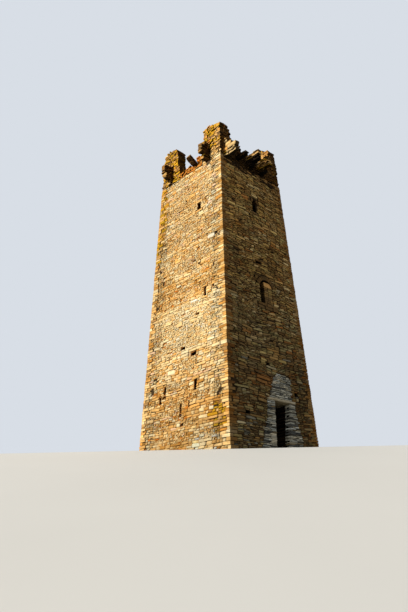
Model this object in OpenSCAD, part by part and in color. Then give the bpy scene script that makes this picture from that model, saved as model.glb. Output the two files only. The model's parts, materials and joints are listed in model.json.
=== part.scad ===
// Ruined square battle tower: a tapering keep of coursed rubble on a five metre base.
// Front is -Y (the doorways), left is -X, +Z is up, and z = 0 is the lowest ground at the walls.

/* [Tower] */
// Side of the square base
base_side = 5000; // [4400:10:6000]
// Inward lean of every outer face for each metre of height
batter = 46; // [30:1:56]
// Height of the wall head, where the corbels start
wall_head = 12400; // [12100:10:12700]

/* [Walls] */
// Wall thickness of the ground storey
ground_wall = 800; // [720:10:900]
// Wall thickness of the second storey
second_wall = 700; // [660:5:715]
// Wall thickness of the third storey
third_wall = 600; // [560:5:640]
// Thickness of the parapet on the wall head
parapet_wall = 500; // [460:5:560]
// Height of the ledge that carries the second floor
second_ledge = 5700; // [5500:10:5900]
// Height of the ledge that carries the third floor
third_ledge = 9350; // [9200:10:9600]

/* [Ground doorway] */
// Height of the threshold
threshold_top = 270; // [200:5:350]
// Height of the lintel's underside
door_head = 1980; // [1850:10:2100]
// Width of the doorway at its head
door_head_w = 890; // [800:10:960]
// Width of the doorway at the ground
door_foot_w = 740; // [640:10:800]
// Distance of the doorway's middle from the middle of the wall at its head
door_head_x = 505; // [460:5:560]
// Distance of the doorway's middle from the middle of the wall at the ground
door_foot_x = 290; // [250:5:340]
// Depth of the outer reveal, in front of the rebate
door_reveal = 250; // [200:10:320]
// How far the doorway widens on each side behind its reveal
door_rebate = 150; // [100:5:200]
// Thickness of the lintel slab
lintel_t = 120; // [90:5:160]
// How far the lintel bears on the left jamb
lintel_bearing_left = 410; // [340:10:460]
// How far the lintel bears on the right jamb
lintel_bearing_right = 300; // [250:10:380]
// Width of the left slate jamb at the ground
jamb_foot_left = 820; // [700:10:920]
// Width of the right slate jamb at the ground
jamb_foot_right = 1040; // [900:10:1150]
// Height of the slate repair above the lintel
slate_crown_h = 990; // [800:10:1200]

/* [Upper doorway] */
// Width of the upper doorway
upper_door_w = 760; // [680:10:840]
// Distance of the upper doorway's middle from the middle of the wall
upper_door_x = 230; // [180:5:280]
// Height of the jambs above the sill
upper_jamb_h = 850; // [760:10:950]
// Rise of the arched head
upper_arch_rise = 230; // [180:5:280]
// Thickness of the sill under the upper doorway
upper_sill_t = 250; // [180:5:300]
// Thickness of the arched head stone above its crown
upper_head_t = 200; // [150:5:260]
// How far the sill and the head stone bear on each jamb
upper_bearing = 240; // [180:5:300]
// Width of the slit left open beside the blocking
blocking_slit_w = 260; // [200:5:320]
// How far the blocking lies behind the face of the wall
blocking_recess = 40; // [25:5:80]
// Thickness of the blocking
blocking_t = 350; // [280:5:420]

/* [Slits] */
// Width of the lower slit in the side walls
low_slit_w = 150; // [110:5:200]
// Height of the lower slit
low_slit_h = 410; // [340:10:480]
// Height of the lower slit's sill above the foot of the wall
low_slit_sill = 2360; // [2100:10:2700]
// Distance of the lower slit from the middle of its wall
low_slit_x = 660; // [500:10:800]
// Width of the middle slit in the side walls
mid_slit_w = 120; // [100:5:170]
// Height of the middle slit
mid_slit_h = 390; // [320:10:460]
// Height of the middle slit's sill above the second ledge
mid_slit_sill = 330; // [290:5:600]
// Distance of the middle slit from the middle of its wall
mid_slit_x = 1100; // [900:10:1200]
// Width of the upper slit in the side walls
high_slit_w = 200; // [150:5:260]
// Height of the upper slit
high_slit_h = 360; // [300:10:430]
// Height of the upper slit's sill above the third ledge
high_slit_sill = 830; // [600:10:1200]
// Distance of the upper slit from the middle of its wall
high_slit_x = 630; // [500:10:760]
// Width of the window in the front and back walls
window_w = 260; // [200:5:320]
// Height of the window to the crown of its round head
window_h = 700; // [600:10:800]
// Height of the window's sill above the third ledge
window_sill = 910; // [600:10:1300]
// Depth of the narrow outer throat of a slit
slit_throat = 200; // [150:5:260]
// How far a slit widens on each side behind its throat
slit_splay = 150; // [100:5:200]

/* [Floors] */
// Width of a floor joist
joist_w = 160; // [130:5:200]
// Depth of a floor joist
joist_h = 200; // [160:5:240]
// Number of joists under each floor
joist_count = 5; // [4:1:6]
// Thickness of the floor boards
board_t = 50; // [40:1:60]
// Gap between the floor timber and the walls
timber_gap = 10; // [8:1:30]

/* [Crown] */
// Height of the tall corner piers above the wall head
pier_h = 2030; // [1850:10:2150]
// Height of the broken corner piers above the wall head
broken_pier_h = 1650; // [1550:10:1900]
// Height of one corbel stone
corbel_course = 230; // [200:5:260]
// Width of a corbel
corbel_w = 260; // [220:5:300]
// Reach of the longest corbel stones of the front and back
front_corbel_reach = 700; // [620:10:780]
// Reach of the longest corbel stones of the sides
side_corbel_reach = 490; // [430:10:560]
// How far the corbel stones are built into the wall
corbel_tail = 350; // [280:10:420]
// Distance of the first front corbel from the near corner
front_corbel_near = 250; // [200:10:300]
// Distance of the last front corbel from the far corner
front_corbel_far = 1250; // [1180:10:1300]
// Distance of the first side corbel from the near corner
side_corbel_near = 650; // [600:10:690]
// Distance of the last side corbel from the far corner
side_corbel_far = 490; // [420:10:560]
// Length of the near pier along the front
front_near_arm = 1240; // [1210:10:1320]
// Length of the far pier along the front
front_far_arm = 960; // [880:10:1100]
// Length of the near pier along the side
side_near_arm = 1120; // [1020:10:1180]
// Length of the far pier along the side
side_far_arm = 1290; // [1200:10:1400]
// Height of the broken front parapet between the piers
front_stump_h = 990; // [920:10:1100]
// Height of the broken side parapet between the piers
side_stump_h = 560; // [500:10:640]

/* [Hidden] */

FRONT = 0;
RIGHT = 90;
BACK = 180;
LEFT = -90;

rubble_ochre = [0.72, 0.55, 0.32];
rubble_brown = [0.40, 0.30, 0.20];
slate_grey = [0.47, 0.47, 0.45];
lintel_tan = [0.55, 0.46, 0.28];
pale_orange = [0.80, 0.62, 0.38];
old_timber = [0.42, 0.33, 0.25];

METRE = 1000;
past = 300;
crown_top = wall_head + pier_h + past;
lintel_top = door_head + lintel_t;
upper_sill = second_ledge + upper_sill_t;
upper_spring = upper_sill + upper_jamb_h;
upper_head_top = upper_spring + upper_arch_rise + upper_head_t;
blocking_top = upper_spring + 0.68 * upper_arch_rise;
blocking_shoulder = 0.12 * upper_door_w;
upper_door_left = upper_door_x - upper_door_w / 2;
upper_door_right = upper_door_x + upper_door_w / 2;
head_half = half_width(wall_head);
head_w = 2 * head_half;
corbel_pitches = 3;
front_corbel_pitch = (head_w - front_corbel_near - front_corbel_far - corbel_w) / corbel_pitches;
side_corbel_pitch = (head_w - side_corbel_near - side_corbel_far - corbel_w) / corbel_pitches;

// Half the outer width of the tower at height z
function half_width(z) = base_side / 2 - batter * z / METRE;

// Half the inner width at height z behind a wall of thickness t
function inner_half(z, t) = half_width(z) - t;

// Places a solid made for the front wall on the wall at the given turn
module on_wall(turn) {
    rotate([0, 0, turn]) children();
}

// Extrudes an outline drawn in X and Z through the tower along Y
module along_y(length = 2 * base_side) {
    rotate([90, 0, 0]) linear_extrude(height = length, center = true) children();
}

// Extrudes an outline drawn in Y and Z along X
module along_x(length = 2 * base_side) {
    rotate([90, 0, 90]) linear_extrude(height = length, center = true) children();
}

// Cross-section of a leaning wall from z0 to z1
module wall_section(z0, z1, t) {
    polygon([
        [-half_width(z0), z0], [-inner_half(z0, t), z0],
        [-inner_half(z1, t), z1], [-half_width(z1), z1]
    ]);
}

// Face of a leaning wall, drawn in by inset at both ends
module wall_face(z0, z1, inset) {
    polygon([
        [-inner_half(z0, inset), z0], [inner_half(z0, inset), z0],
        [inner_half(z1, inset), z1], [-inner_half(z1, inset), z1]
    ]);
}

// Part of the front wall that lies within the outline given as its child
module wall_within(z0, z1, t) {
    intersection() {
        along_x() wall_section(z0, z1, t);
        along_y() children();
    }
}

// Whole wall of one storey: front and back run to the corners, the sides stand between them
module storey_wall(z0, z1, t, corner_to_corner) {
    wall_within(z0, z1, t) wall_face(z0, z1, corner_to_corner ? 0 : t);
}

// Slit through the front wall: a narrow throat, then a splay towards the room
module slit(x, z, w, h, t, round_head = false) {
    outer = half_width(z) + past;
    throat = half_width(z) - slit_throat;
    inner = half_width(z) - t - past;
    straight = round_head ? h - w / 2 : h;
    translate([x, 0, z]) {
        linear_extrude(height = straight)
            polygon([
                [-w / 2, -outer], [w / 2, -outer], [w / 2, -throat],
                [w / 2 + slit_splay, -inner], [-w / 2 - slit_splay, -inner], [-w / 2, -throat]
            ]);
        if (round_head)
            translate([0, -inner, straight])
                rotate([90, 0, 0]) cylinder(h = outer - inner, d = w, $fn = 48);
    }
}

// Half width and middle of the doorway at height z
function door_half(z) = (door_foot_w + (door_head_w - door_foot_w) * z / door_head) / 2;
function door_mid(z) = door_foot_x + (door_head_x - door_foot_x) * z / door_head;
function door_left(z) = door_mid(z) - door_half(z);
function door_right(z) = door_mid(z) + door_half(z);
lintel_left = door_left(door_head) - lintel_bearing_left;
lintel_right = door_right(door_head) + lintel_bearing_right;

// Outlines of the slate repair round the doorway, seen from the front
module jamb_outline_left() {
    polygon([
        [door_left(0) - jamb_foot_left, 0], [door_left(0), 0], [door_left(door_head), door_head],
        [lintel_left, door_head], [lintel_left - 0.08 * jamb_foot_left, 0.7 * door_head]
    ]);
}

module jamb_outline_right() {
    polygon([
        [door_right(0), 0], [door_right(0) + jamb_foot_right, 0],
        [lintel_right + 0.1 * jamb_foot_right, 0.55 * door_head],
        [lintel_right, door_head], [door_right(door_head), door_head]
    ]);
}

module lintel_outline() {
    translate([lintel_left, door_head]) square([lintel_right - lintel_left, lintel_t]);
}

module slate_crown_outline() {
    top_w = 0.19 * (lintel_right - lintel_left);
    shoulder = 0.55 * slate_crown_h;
    mid = (lintel_left + lintel_right) / 2;
    polygon([
        [lintel_left, lintel_top], [lintel_right, lintel_top], [lintel_right, lintel_top + shoulder],
        [mid + top_w, lintel_top + slate_crown_h], [mid, lintel_top + slate_crown_h],
        [lintel_left + top_w, lintel_top + shoulder]
    ]);
}

module threshold_outline() {
    polygon([
        [door_left(0), 0], [door_right(0), 0],
        [door_right(threshold_top), threshold_top], [door_left(threshold_top), threshold_top]
    ]);
}

module doorway_outline() {
    polygon([
        [door_left(0), 0], [door_right(0), 0], [door_right(door_head), door_head],
        [door_left(door_head), door_head]
    ]);
}

// Wider part of the doorway, behind its outer reveal
module door_rebate_cut() {
    depth = half_width(0) - door_reveal;
    intersection() {
        translate([-base_side, -depth, threshold_top])
            cube([2 * base_side, depth, door_head - threshold_top]);
        along_y() polygon([
            [door_left(0) - door_rebate, 0], [door_right(0) + door_rebate, 0],
            [door_right(door_head) + door_rebate, door_head],
            [door_left(door_head) - door_rebate, door_head]
        ]);
    }
}

// Everything of the slate surround and the doorway, as seen from the front
module surround_outline() {
    jamb_outline_left();
    jamb_outline_right();
    doorway_outline();
    lintel_outline();
}

// Masonry beside the doorway, on one side of its middle, up to the top of the lintel
module beside_door(side) {
    color(rubble_brown) wall_within(0, lintel_top, ground_wall) difference() {
        intersection() {
            wall_face(0, lintel_top, 0);
            translate([side < 0 ? door_foot_x - base_side : door_foot_x, 0])
                square([base_side, lintel_top]);
        }
        surround_outline();
    }
}

module front_wall_beside_door_left() {
    beside_door(-1);
}

module front_wall_beside_door_right() {
    beside_door(1);
}

module front_wall_over_door() {
    color(rubble_brown) wall_within(lintel_top, second_ledge, ground_wall) difference() {
        wall_face(lintel_top, second_ledge, 0);
        slate_crown_outline();
    }
}

module door_jamb_left() {
    color(slate_grey) difference() {
        wall_within(0, door_head, ground_wall) jamb_outline_left();
        door_rebate_cut();
    }
}

module door_jamb_right() {
    color(slate_grey) difference() {
        wall_within(0, door_head, ground_wall) jamb_outline_right();
        door_rebate_cut();
    }
}

module door_lintel() {
    color(lintel_tan) wall_within(door_head, lintel_top, ground_wall) lintel_outline();
}

module door_slate_crown() {
    color(slate_grey) wall_within(lintel_top, second_ledge, ground_wall) slate_crown_outline();
}

module door_threshold() {
    color(slate_grey) wall_within(0, threshold_top, ground_wall) threshold_outline();
}

// Ground storey wall of a side, with its one slit
module side_wall_ground(turn, x) {
    on_wall(turn) difference() {
        storey_wall(0, second_ledge, ground_wall, false);
        slit(x, low_slit_sill, low_slit_w, low_slit_h, ground_wall);
    }
}

module left_wall_ground() {
    color(rubble_ochre) side_wall_ground(LEFT, low_slit_x);
}

module right_wall_ground() {
    color(rubble_ochre) side_wall_ground(RIGHT, low_slit_x);
}

module back_wall_ground() {
    color(rubble_brown) on_wall(BACK) storey_wall(0, second_ledge, ground_wall, true);
}

// Segmental arch over the upper doorway
module upper_arch_outline() {
    half = upper_door_w / 2;
    radius = (half * half + upper_arch_rise * upper_arch_rise) / (2 * upper_arch_rise);
    intersection() {
        translate([upper_door_left, upper_spring]) square([upper_door_w, 2 * upper_arch_rise]);
        translate([upper_door_x, upper_spring + upper_arch_rise - radius]) circle(r = radius, $fn = 96);
    }
}

module upper_head_outline() {
    difference() {
        translate([upper_door_left - upper_bearing, upper_spring])
            square([upper_door_w + 2 * upper_bearing, upper_arch_rise + upper_head_t]);
        upper_arch_outline();
    }
}

module upper_sill_outline() {
    translate([upper_door_left - upper_bearing, second_ledge])
        square([upper_door_w + 2 * upper_bearing, upper_sill_t]);
}

// Masonry beside the upper doorway, up to the springing of its head
module beside_upper_door(side) {
    color(rubble_brown) wall_within(second_ledge, upper_spring, second_wall) difference() {
        intersection() {
            wall_face(second_ledge, upper_spring, 0);
            translate([side < 0 ? upper_door_left - base_side : upper_door_right, second_ledge])
                square([base_side, upper_spring - second_ledge]);
        }
        upper_sill_outline();
    }
}

module front_wall_second_left() {
    beside_upper_door(-1);
}

module front_wall_second_right() {
    beside_upper_door(1);
}

module front_wall_over_upper_door() {
    color(rubble_brown) wall_within(upper_spring, third_ledge, second_wall) difference() {
        wall_face(upper_spring, third_ledge, 0);
        upper_head_outline();
        upper_arch_outline();
    }
}

module upper_door_sill() {
    color(rubble_brown) wall_within(second_ledge, upper_sill, second_wall) upper_sill_outline();
}

module upper_door_head() {
    color(rubble_brown) wall_within(upper_spring, upper_head_top, second_wall) upper_head_outline();
}

// Later masonry that walls up the right part of the upper doorway, to just under its arch
module blocking_outline() {
    polygon([
        [upper_door_left + blocking_slit_w, upper_sill], [upper_door_right, upper_sill],
        [upper_door_right, upper_spring],
        [upper_door_right - blocking_shoulder, (upper_spring + 2 * blocking_top) / 3],
        [upper_door_right - 2 * blocking_shoulder, blocking_top],
        [upper_door_left + blocking_slit_w, blocking_top]
    ]);
}

module upper_door_blocking() {
    front_foot = -half_width(upper_sill) + blocking_recess;
    front_head = -half_width(upper_head_top) + blocking_recess;
    color(pale_orange) intersection() {
        along_x() polygon([
            [front_foot, upper_sill], [front_foot + blocking_t, upper_sill],
            [front_head + blocking_t, upper_head_top], [front_head, upper_head_top]
        ]);
        along_y() blocking_outline();
    }
}

module side_wall_second(turn, x) {
    on_wall(turn) difference() {
        storey_wall(second_ledge, third_ledge, second_wall, false);
        slit(x, second_ledge + mid_slit_sill, mid_slit_w, mid_slit_h, second_wall);
    }
}

module left_wall_second() {
    color(rubble_ochre) side_wall_second(LEFT, mid_slit_x);
}

module right_wall_second() {
    color(rubble_ochre) side_wall_second(RIGHT, mid_slit_x);
}

module back_wall_second() {
    color(rubble_brown) on_wall(BACK) difference() {
        storey_wall(second_ledge, third_ledge, second_wall, true);
        slit(upper_door_x, second_ledge + mid_slit_sill, mid_slit_w, mid_slit_h, second_wall);
    }
}

module side_wall_third(turn, x) {
    on_wall(turn) difference() {
        storey_wall(third_ledge, wall_head, third_wall, false);
        slit(x, third_ledge + high_slit_sill, high_slit_w, high_slit_h, third_wall);
    }
}

module window_wall_third(turn) {
    on_wall(turn) difference() {
        storey_wall(third_ledge, wall_head, third_wall, true);
        slit(0, third_ledge + window_sill, window_w, window_h, third_wall, true);
    }
}

module front_wall_third() {
    color(rubble_brown) window_wall_third(FRONT);
}

module back_wall_third() {
    color(rubble_brown) window_wall_third(BACK);
}

module left_wall_third() {
    color(rubble_ochre) side_wall_third(LEFT, high_slit_x);
}

module right_wall_third() {
    color(rubble_ochre) side_wall_third(RIGHT, high_slit_x);
}

// Joists that rest with both ends on the ledge of the wall below
module floor_joists(ledge, t) {
    reach = inner_half(ledge + joist_h, t) - timber_gap;
    first = -reach + joist_w;
    pitch = (2 * reach - 3 * joist_w) / (joist_count - 1);
    color(old_timber)
        for (i = [0 : joist_count - 1])
            translate([-reach, first + i * pitch, ledge]) cube([2 * reach, joist_w, joist_h]);
}

module floor_boards(ledge, t) {
    reach = inner_half(ledge + joist_h + board_t, t) - timber_gap;
    color(old_timber)
        translate([-reach, -reach, ledge + joist_h]) cube([2 * reach, 2 * reach, board_t]);
}

module second_floor_joists() {
    floor_joists(second_ledge, second_wall);
}

module second_floor_boards() {
    floor_boards(second_ledge, second_wall);
}

module third_floor_joists() {
    floor_joists(third_ledge, third_wall);
}

module third_floor_boards() {
    floor_boards(third_ledge, third_wall);
}

// Outline of a corbel from the side: reaches holds each stone's share of the reach, from the lowest up
module corbel_profile(reach, reaches, first_course) {
    face = -head_half;
    foot = wall_head + first_course * corbel_course;
    count = len(reaches);
    polygon(concat(
        [[face + corbel_tail, foot + count * corbel_course], [face + corbel_tail, foot]],
        [for (i = [0 : count - 1], up = [0, 1])
            [face - reaches[i] * reach, foot + (i + up) * corbel_course]]
    ));
}

// Corbel whose near side lies at the distance s from the near corner
module corbel(s, reach, reaches, first_course = 0) {
    translate([s + corbel_w / 2 - head_half, 0, 0])
        along_x(corbel_w) corbel_profile(reach, reaches, first_course);
}

// Corbel of the given number in the row of the front, and of the sides
module front_corbel(number, reaches, first_course = 0) {
    corbel(front_corbel_near + number * front_corbel_pitch, front_corbel_reach, reaches, first_course);
}

module side_corbel(number, reaches, first_course = 0) {
    corbel(side_corbel_near + number * side_corbel_pitch, side_corbel_reach, reaches, first_course);
}

// What is left of the corbels on the front and back walls
module front_corbel_set() {
    front_corbel(0, [0.92, 0.95, 0.55, 0.2]);
    front_corbel(1, [0.78], 0.7);
    front_corbel(2, [0.45, 0.95, 1]);
    front_corbel(3, [0.6, 1, 0.7]);
}

// What is left of the corbels on the side walls, in the side wall's own direction: the third is lost
module side_corbel_set() {
    mirror([1, 0, 0]) {
        side_corbel(0, [0.7, 1, 0.97, 0.6]);
        side_corbel(1, [1], 0.8);
        side_corbel(3, [0.3, 0.9, 1, 0.95]);
    }
}

// Ragged wall of the crown from distance s to distance e from the near corner. Each point of its
// top is a share of the way from s to e and a share of the height h.
module crown_wall(s, e, h, top) {
    wall_within(wall_head, crown_top, parapet_wall) intersection() {
        wall_face(wall_head, crown_top, 0);
        translate([-head_half, wall_head]) polygon(concat(
            [[e, 0], [s, 0]],
            [for (p = top) [s + p[0] * (e - s), p[1] * h]]
        ));
    }
}

module front_near_arm_wall() {
    crown_wall(0, front_near_arm, pier_h, [
        [0, 0.82], [0.11, 0.84], [0.28, 0.81], [0.49, 0.81], [0.58, 0.77], [0.6, 0.58], [0.8, 0.56],
        [1, 0.49]
    ]);
}

module side_near_arm_wall() {
    mirror([1, 0, 0]) crown_wall(0, side_near_arm, pier_h, [
        [0, 0.82], [0.3, 0.91], [0.53, 0.91], [0.87, 0.93], [1, 0.88], [0.98, 0.71], [0.9, 0.62],
        [0.88, 0.28], [1, 0.26]
    ]);
}

module front_far_arm_wall() {
    crown_wall(head_w - front_far_arm, head_w, broken_pier_h, [
        [0, 0.75], [0.16, 0.87], [0.6, 1], [0.85, 0.92], [1, 0.91]
    ]);
}

module side_far_arm_wall() {
    mirror([1, 0, 0]) crown_wall(head_w - side_far_arm, head_w, pier_h, [
        [0, 0.11], [0.18, 0.54], [0.23, 0.9], [0.66, 1], [1, 0.88]
    ]);
}

// Tall pier at the near corner, and at the corner opposite when turned
module tall_pier(turn) {
    on_wall(turn) difference() {
        union() {
            front_near_arm_wall();
            on_wall(LEFT) side_near_arm_wall();
        }
        front_corbel_set();
        on_wall(LEFT) side_corbel_set();
    }
}

// Broken pier at the right corner, and at the corner opposite when turned
module broken_pier(turn) {
    on_wall(turn) difference() {
        union() {
            front_far_arm_wall();
            on_wall(RIGHT) side_far_arm_wall();
        }
        front_corbel_set();
        on_wall(RIGHT) side_corbel_set();
    }
}

module near_corner_pier() {
    color(rubble_ochre) tall_pier(0);
}

module far_corner_pier() {
    color(rubble_ochre) tall_pier(180);
}

module right_corner_pier() {
    color(rubble_brown) broken_pier(0);
}

module left_corner_pier() {
    color(rubble_brown) broken_pier(180);
}

// Low broken wall that is left between the piers of the front and the back
module front_stump(turn) {
    on_wall(turn) difference() {
        crown_wall(front_near_arm, head_w - front_far_arm, front_stump_h, [
            [0, 1], [0.13, 0.81], [0.24, 0.68], [0.4, 0.69], [0.53, 0.81], [0.76, 0.77], [1, 0.73]
        ]);
        front_corbel_set();
    }
}

// Low broken wall that is left between the piers of the sides
module side_stump(turn) {
    on_wall(turn) difference() {
        mirror([1, 0, 0]) crown_wall(side_near_arm, head_w - side_far_arm, side_stump_h, [
            [0, 0.98], [0.27, 1], [0.33, 0.36], [0.55, 0.66], [0.75, 0.71], [0.81, 0.52], [1, 0.4]
        ]);
        side_corbel_set();
    }
}

module front_parapet_stump() {
    color(rubble_brown) front_stump(FRONT);
}

module back_parapet_stump() {
    color(rubble_brown) front_stump(BACK);
}

module left_parapet_stump() {
    color(rubble_ochre) side_stump(LEFT);
}

module right_parapet_stump() {
    color(rubble_ochre) side_stump(RIGHT);
}

module front_corbels() {
    color(rubble_brown) on_wall(FRONT) front_corbel_set();
}

module back_corbels() {
    color(rubble_brown) on_wall(BACK) front_corbel_set();
}

module left_corbels() {
    color(rubble_ochre) on_wall(LEFT) side_corbel_set();
}

module right_corbels() {
    color(rubble_ochre) on_wall(RIGHT) side_corbel_set();
}

front_wall_beside_door_left();
front_wall_beside_door_right();
front_wall_over_door();
door_jamb_left();
door_jamb_right();
door_lintel();
door_slate_crown();
door_threshold();
left_wall_ground();
right_wall_ground();
back_wall_ground();
front_wall_second_left();
front_wall_second_right();
front_wall_over_upper_door();
upper_door_sill();
upper_door_head();
upper_door_blocking();
left_wall_second();
right_wall_second();
back_wall_second();
front_wall_third();
left_wall_third();
right_wall_third();
back_wall_third();
second_floor_joists();
second_floor_boards();
third_floor_joists();
third_floor_boards();
near_corner_pier();
far_corner_pier();
right_corner_pier();
left_corner_pier();
front_parapet_stump();
back_parapet_stump();
left_parapet_stump();
right_parapet_stump();
front_corbels();
back_corbels();
left_corbels();
right_corbels();
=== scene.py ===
"""Dresses the ruined tower keep in its stones, slates and timber, and lights it on a pale floor."""

import json
import math
import random
from itertools import pairwise

import bmesh
import bpy
import numpy as np
from mathutils import Euler, Matrix, Vector, noise
from mathutils.bvhtree import BVHTree


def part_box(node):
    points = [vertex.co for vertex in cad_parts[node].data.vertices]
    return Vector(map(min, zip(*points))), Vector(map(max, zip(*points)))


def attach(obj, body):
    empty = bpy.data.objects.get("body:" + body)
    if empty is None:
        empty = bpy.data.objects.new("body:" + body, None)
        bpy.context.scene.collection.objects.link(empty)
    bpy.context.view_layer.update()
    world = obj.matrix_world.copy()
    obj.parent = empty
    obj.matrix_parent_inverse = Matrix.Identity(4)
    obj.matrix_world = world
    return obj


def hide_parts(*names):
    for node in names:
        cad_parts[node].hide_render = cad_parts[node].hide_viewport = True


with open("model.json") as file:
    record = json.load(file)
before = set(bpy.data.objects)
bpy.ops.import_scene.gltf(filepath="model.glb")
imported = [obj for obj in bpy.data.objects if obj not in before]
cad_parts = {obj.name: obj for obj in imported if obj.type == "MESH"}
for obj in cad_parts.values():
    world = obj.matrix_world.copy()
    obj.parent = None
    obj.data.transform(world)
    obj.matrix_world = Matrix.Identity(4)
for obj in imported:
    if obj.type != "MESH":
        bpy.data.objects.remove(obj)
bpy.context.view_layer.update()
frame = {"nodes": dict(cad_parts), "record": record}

bl_info = {
    "name": "Ruined tower keep",
    "version": (1, 0, 0),
    "blender": (4, 5, 0),
    "location": "3D View > Sidebar > Keep",
    "description": "Lays the rubble, slate and timber of a ruined tower keep over its plain walls",
    "category": "Object",
}

# Turn, in degrees, from the front to each face
TURNS = {"front": 0, "right": 90, "back": 180, "left": -90}

WALLS = {
    "front": ["front_wall_beside_door_left", "front_wall_beside_door_right", "front_wall_over_door",
              "front_wall_second_left", "front_wall_second_right", "front_wall_over_upper_door",
              "front_wall_third"],
    "left": ["left_wall_ground", "left_wall_second", "left_wall_third"],
    "right": ["right_wall_ground", "right_wall_second", "right_wall_third"],
    "back": ["back_wall_ground", "back_wall_second", "back_wall_third"],
}
SLATE = ["door_jamb_left", "door_jamb_right", "door_slate_crown", "door_threshold"]
CROWN = {
    "near_corner_pier": ("left", "front"), "right_corner_pier": ("front", "right"),
    "far_corner_pier": ("right", "back"), "left_corner_pier": ("back", "left"),
    "front_parapet_stump": ("front",), "right_parapet_stump": ("right",),
    "back_parapet_stump": ("back",), "left_parapet_stump": ("left",),
}
OCHRE_FACES = ("left", "right")

# The tower's own sizes, read from its packed walls
GROUND_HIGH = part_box("back_wall_ground")[1]
THIRD_LOW, THIRD_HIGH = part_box("back_wall_third")
BASE_HALF = GROUND_HIGH.x
WALL_HEAD = THIRD_HIGH.z
LEDGES = (GROUND_HIGH.z, THIRD_LOW.z)
BATTER = (BASE_HALF - THIRD_HIGH.x) / THIRD_LOW.z
WALL_THICKNESS = (
    BASE_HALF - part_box("left_wall_ground")[1].y,
    BASE_HALF - BATTER * LEDGES[0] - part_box("left_wall_second")[1].y,
    THIRD_HIGH.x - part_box("left_wall_third")[1].y,
)
# Thickness of the parapet and of the corner piers
PARAPET_WALL = 0.5


def half_width(z):
    """Half the outer width of the tower at height z."""
    return BASE_HALF - BATTER * z


def srgb(red, green, blue):
    """A linear colour from the 0 to 255 values that a colour is usually written in."""
    return tuple(((c / 255 + 0.055) / 1.055) ** 2.4 if c > 10 else c / 255 / 12.92
                 for c in (red, green, blue))


def within_walls(z):
    """Height z, or the nearest one that the walls have."""
    return max(0.01, min(z, WALL_HEAD - 0.01))


def face_turn(face, size=3, sign=1):
    """The turn from the front to a face, as a matrix of that size; sign -1 gives the turn back."""
    return Matrix.Rotation(math.radians(sign * TURNS[face]), size, "Z")


def turned(face, x, y, z):
    """World point of a place that is given as if its face was the front."""
    return face_turn(face) @ Vector((x, y, z))


def face_point(face, x, out, z):
    """World point at x along a face, out in front of its plane, at height z."""
    return turned(face, x, -(half_width(z) + out), z)


def length(name, description, default):
    return bpy.props.FloatProperty(name=name, description=description, default=default,
                                   subtype="DISTANCE", unit="LENGTH")


def angle(name, description, degrees):
    return bpy.props.FloatProperty(name=name, description=description,
                                   default=math.radians(degrees), subtype="ANGLE", unit="ROTATION")


def share(name, description, default):
    return bpy.props.FloatProperty(name=name, description=description, default=default,
                                   min=0, max=1, subtype="FACTOR")


def number(name, description, default):
    return bpy.props.FloatProperty(name=name, description=description, default=default)


def shade(name, description, *rgb):
    return bpy.props.FloatVectorProperty(name=name, description=description, default=srgb(*rgb),
                                         size=3, min=0, max=1, subtype="COLOR")


class MasonrySettings(bpy.types.PropertyGroup):
    lift_least: length("Lowest lift", "Least height of one lift of the walling", 0.19)
    lift_most: length("Highest lift", "Greatest height of one lift of the walling", 0.34)
    joint_least: length("Tightest joint", "Least gap between two stones", 0.003)
    joint_usual: length("Usual joint", "Greatest gap of a joint that is still packed", 0.008)
    joint_most: length("Widest joint", "Greatest gap of a joint that has lost its packing", 0.026)
    open_joints: share("Open joints", "Share of the joints that have lost their packing", 0.15)
    proud_most: length("Proudest stone", "How far a stone may stand in front of its wall", 0.018)
    bed_depth: length("Bed depth", "How far the earth bed lies behind the face of the wall", 0.042)
    inner_bed: length("Inner bed depth", "How far the bed lies behind the inner face", 0.04)
    stone_depth: length("Stone depth", "How far a face stone reaches into its wall", 0.19)
    wave_height: length("Wave height", "How far the courses rise and dip along a wall", 0.038)
    hole_depth: length("Hole depth", "How deep the hole of a fallen stone is", 0.24)
    unevenness: length("Unevenness", "How far the stone faces swell and sink", 0.011)
    missing: share("Missing stones", "Share of the small stones that have fallen out", 0.012)
    seed: bpy.props.IntProperty(name="Seed", description="Seed of the stone pattern", default=7)


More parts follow.
